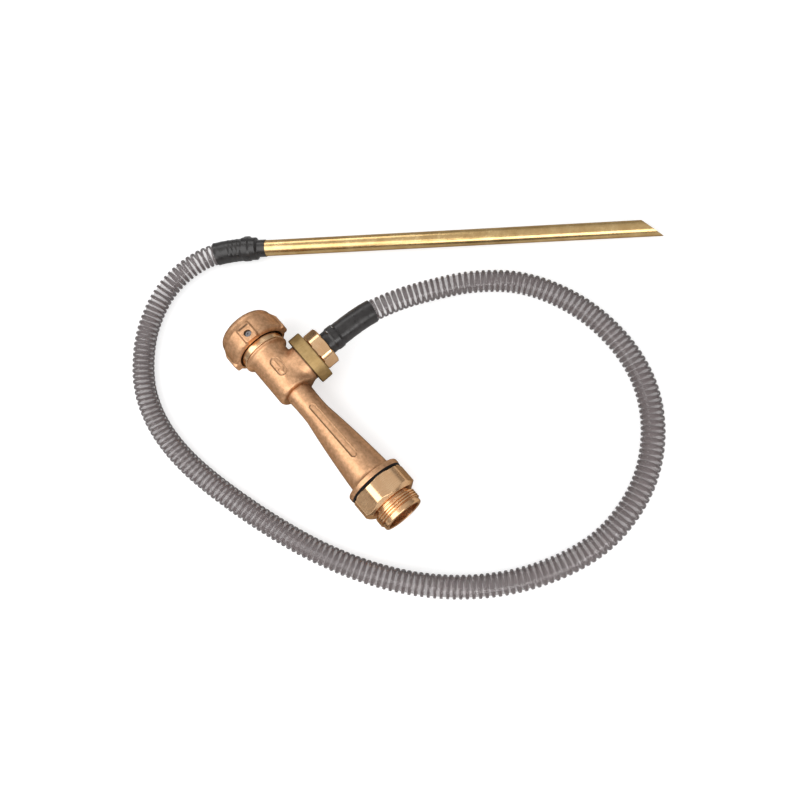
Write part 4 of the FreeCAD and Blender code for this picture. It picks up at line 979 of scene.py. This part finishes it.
def bow(start, end, through, count=9):
    """Points of the curve that bends from start to end through a point half way."""
    start, end, through = (np.array(v, float) for v in (start, end, through))
    t = np.linspace(0, 1, count)[:, None]
    pull = 2 * through - (start + end) / 2
    return (1 - t) ** 2 * start + 2 * t * (1 - t) * pull + t**2 * end


# %% [markdown]
# The body is a bead, a barrel, a thin neck and a long flare to the flange, all round about the
# flow, and the boss of the suction port stands on the barrel's side. It is one casting, but it is
# worked out as two skins that overlap inside the metal. They meet where the barrel's square end
# already makes a corner, so no seam shows, and the gentle flare can do with longer steps.
# %% Body's outlines and marks
BARREL = np.vstack(
    [
        [(42, 0), (42, 25.8), (42.3, 26.6), (43.0, 27), (43.6, 27)],
        bow((44.2, 26.8), (50.5, 22.5), (46.8, 23.7)),
        bow((98.5, 22.5), (103, 18), (101.7, 21.2)),
        [(103, 13.9), (108, 13.9), (108, 0)],
    ]
)
FLARE = np.vstack(
    [
        [(101, 0), (101, 15.1)],
        bow((103.5, 15.1), (138, 14.6), (121, 14.3), 7),
        bow((138, 14.6), (226.5, 23.7), (182.25, 19.95), 21)[1:],
        bow((226.5, 23.7), (232, 29.2), (230.4, 25.3))[1:],
        [(232, 31), (232.3, 31.7), (233, 32), (237.1, 32), (237.7, 31.8), (238, 31.2), (238, 0)],
    ]
)
WATERWAY = [
    *[(41, 0), (41, 22.05), (44.3, 22.05), (44.3, 19.85), (54.15, 19.85), (54.15, 17.5)],
    *[(93, 17.5), (108, 7), (128, 7), (226, 18), (226, 20.8), (239.5, 20.8), (239.5, 0)],
]
MARKS_AT = math.radians(84.5)
PANEL, EMBLEM = (167.5, 79.0, 6.6), (73.3, 24.5, 10.8)  # middle, length and width
RIM = 0.25


def beside_marks(y, z):
    """How far a point stands to the side of the line that the marks lie on."""
    return y * math.sin(MARKS_AT) - z * math.cos(MARKS_AT)


def sunk(x, across, mark, grow=0.0, edge=0.7):
    """1 inside a long round-ended mark, grown by so much, and 0 outside, with a slope an edge
    wide between."""
    middle, length, width = mark
    past = np.maximum(np.abs(x - middle) - (length - width) / 2, 0)
    return np.clip(0.5 - (np.hypot(past, across) - width / 2 - grow) / edge, 0, 1)


def arrow(x, across, start, end):
    """1 on a plain arrow from start to end, with the same kind of slope round it."""
    head = np.maximum((np.abs(across) - (end - x) * 0.5) * 0.9, end - 7 - x)
    shaft = np.maximum(np.abs(across) - 0.8, np.maximum(start - x, x - end + 6))
    return np.clip(0.5 - np.minimum(head, shaft) / 0.9, 0, 1)


def marked(x, y, z, mark, depth):
    """How far a mark lowers the surface, with its floor sunk inside a low rim, and how far each
    point on the marks' half of the body stands to their side."""
    across = beside_marks(y, z)
    upper = y * math.cos(MARKS_AT) + z * math.sin(MARKS_AT) > 0
    inside = sunk(x, across, mark)
    rim = sunk(x, across, mark, 1.1) - inside
    return upper * (depth * inside - RIM * rim), upper * across


def mark_painted_shade(x, y, z, mark):
    """Painted shade along the foot of the mark's wall, more on the side that faces away from the
    light.
    """
    across = beside_marks(y, z)
    foot = sunk(x, across, mark, 0.35) - sunk(x, across, mark, -1.2, 1.4)
    return (z > 5) * foot * np.where(across < 0, 0.62, 0.42)


# %% Barrel and port
CELL = 0.58
PORT_X = 80.5
axes = [graded((40.5, 109.5, CELL)), graded((-27.6, 36.8, CELL)), graded((-27.9, 28.2, CELL))]
X, Y, Z = np.meshgrid(*axes, indexing="ij", sparse=True)
rho = np.hypot(Y[0], Z[0])
across = np.sqrt((X - PORT_X) ** 2 + Z**2)
# The boss, with a wider rim for the nut's thread.
boss = np.minimum(rod_field(across, Y, 22.2, 0, 28.5), rod_field(across, Y, 26.2, 28.5, 35))
solid = soft_min(revolved(BARREL, axes[0], rho), boss, width=4.0)
# The port is bored in two steps, and inside the neck this skin keeps clear of the flare's.
port_bore = np.minimum(rod_field(across, Y, 11, 20, 40), rod_field(across, Y, 9.5, 8, 21))
overlap = rod_field(rho[None], X, 12.6, 101.3, 112)
hollow = np.minimum(np.minimum(revolved(WATERWAY, axes[0], rho), port_bore), overlap)
lowered, across = marked(X, Y, Z, EMBLEM, 0.7)
solid = solid + lowered - 0.6 * (Z > 5) * arrow(X, across, 63.5, 83.5)


def barrel_painted_shade(x, y, z):
    """Painted shade on the emblem's wall, the corner in front of the neck, and the boss's rim next
    to the nut.
    """
    corner = 0.5 * plateau(x, 102.6, 104.5, 0.8) + 0.8 * (y > 26.3)
    return np.clip(mark_painted_shade(x, y, z, EMBLEM) + corner, 0, 1)


barrel = skin_of("eductor_body_cast", FLOW, np.maximum(solid, -hollow), axes, barrel_painted_shade)
dress(barrel, cast_bronze, "eductor", "cast_bronze", "eductor_body")

# %% Neck, flare and flange
axes = [
    graded((100, 127, 1.2), (127, 133, 0.6), (133, 201, 1.5), (201, 240, 0.6)),
    graded((-33.6, 34.2, 0.62)),
    graded((-33.6, 34.2, 0.62)),
]
X, Y, Z = np.meshgrid(*axes, indexing="ij", sparse=True)
rho = np.hypot(Y[0], Z[0])
solid = revolved(FLARE, axes[0], rho) + marked(X, Y, Z, PANEL, 0.8)[0]
hollow = revolved(WATERWAY, axes[0], rho)


def flare_painted_shade(x, y, z):
    """Painted shade on the panel's wall, and on the flange's face next to the gasket."""
    return np.clip(mark_painted_shade(x, y, z, PANEL) + 0.9 * (x > 237.8), 0, 1)


flare = skin_of("eductor_flare_cast", FLOW, np.maximum(solid, -hollow), axes, flare_painted_shade)
dress(flare, cast_bronze, "eductor", "cast_bronze")

# %% [markdown]
# The swivel's shell has a rounded nose, four lugs to turn it by, and a hole in the top lug through
# which the race's balls go in. That lug is milled flat behind a small lip, for the plug.
# %% Swivel coupling
SHELL = np.vstack(
    [
        [(0, 0), (0, 26.9)],
        bow((0.02, 26.95), (8, 33.0), (2.96, 31.29), 11),
        [(13, 34.8), (28, 34.8)],
        bow((28.5, 34.8), (34, 28.2), (32.4, 32.6)),
        [(34, 0)],
    ]
)
INSIDE = [
    *[(-1, 0), (-1, 26.9), (0, 26.9), (0.9, 27.4), (15.5, 27.4), (20.5, 27.1), (20.5, 26.58)],
    *[(31.6, 26.58), (32.2, 28.0), (35, 28.0), (35, 0)],
]
LUG = (10.25, 8.0, 18.2)  # half of its length, width and height
axes = [graded((-1.5, 35.5, CELL)), graded((-37.7, 38.2, CELL)), graded((-37.7, 38.2, CELL))]
X, Y, Z = np.meshgrid(*axes, indexing="ij", sparse=True)
rho = np.hypot(Y[0], Z[0])


def lug(across, outward):
    """A block with rounded edges whose top slopes down to the front, so that a hand or a hook
    slides on."""
    block = box_field(X - 23.75, across, outward - LUG[2], LUG, 2.4)
    return np.maximum(block, (outward - 34.6 - 0.6 * (X - 14.2)) * 0.857)


lugs = lug(Y, Z)
for across, outward in ((-Z, Y), (-Y, -Z), (Z, -Y)):
    lugs = np.minimum(lugs, lug(across, outward))
shell = soft_min(revolved(SHELL, axes[0], rho), lugs, width=1.8)
milled = box_field(X - 28.5, Y, Z - 37.7, (11.5, 9.5, 2.0), 0.1)
# The race's groove, and the hole that its balls go in by.
race_room = np.hypot(X - RACE_X, rho[None] - RACE_R) - 3.23
hole = rod_field(np.hypot(X - RACE_X, Y), Z, 4.0, 20, 45)
hollow = np.minimum(np.minimum(revolved(INSIDE, axes[0], rho), race_room), np.minimum(milled, hole))


def swivel_painted_shade(x, y, z):
    """Painted shade in the open groove at the back, on the wall before the milled flat, and on the
    hole's own wall.
    """
    groove = 1.0 * (x > 31.3) * (np.hypot(y, z) < 28.3)
    wall = 0.95 * plateau(x, 15.9, 17.9, 0.7) * plateau(y, -6.5, 6.5, 1.5) * (z > 34.9)
    bored = 0.9 * (np.hypot(x - RACE_X, y) < 4.2) * (z > 28) * (z < 35.6)
    return np.clip(groove + wall + bored, 0, 1)


swivel = skin_of("swivel_cast", FLOW, np.maximum(shell, -hollow), axes, swivel_painted_shade)
dress(swivel, cast_bronze, "swivel", "cast_bronze", "swivel_coupling")


def mouth_shape(x, r, a):
    """Female thread: the wall goes out from its crest by up to the thread's depth."""
    cut = 1.5 * (1 - thread(x, a, PITCH)) * plateau(x, 1.2, 14.6, 1.0)
    return x, np.where(r < 25.6, r + cut, r)


outline = [(0.1, 26.6), (1.2, 25.4), (15.5, 25.4), (15.5, 27.36), (0.9, 27.36), (0.1, 26.85)]
outline = divided(softened(outline, 0.2), 1.6, lambda x, r: np.where(r < 25.6, 0.24, 1.6))
mouth = carried_round("mouth_thread", FLOW, outline, columns=160, shape=mouth_shape)
dress(mouth, collar_bronze, "swivel", "cast_bronze")

# %% [markdown]
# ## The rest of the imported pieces
# Pieces whose CAD shape is already right keep it and get their finish.
# %% Finishes for CAD pieces
FINISHES = [
    (steel, "race_balls", "check_ball"),
    (shaded_plug_steel, "race_plug"),
    (stainless, "near_clamp", "far_clamp"),
    (black_rubber, "swivel_gasket", "inlet_ring", "nozzle_ring"),
    (black_rubber, "outlet_gasket", "union_gasket", "ball_seat"),
    (white_plastic, "ball_cage"),
]
for material, *nodes in FINISHES:
    for node in nodes:
        for slot in frame["nodes"][node].material_slots:
            slot.material = material
    print(material.name, "on", nodes)
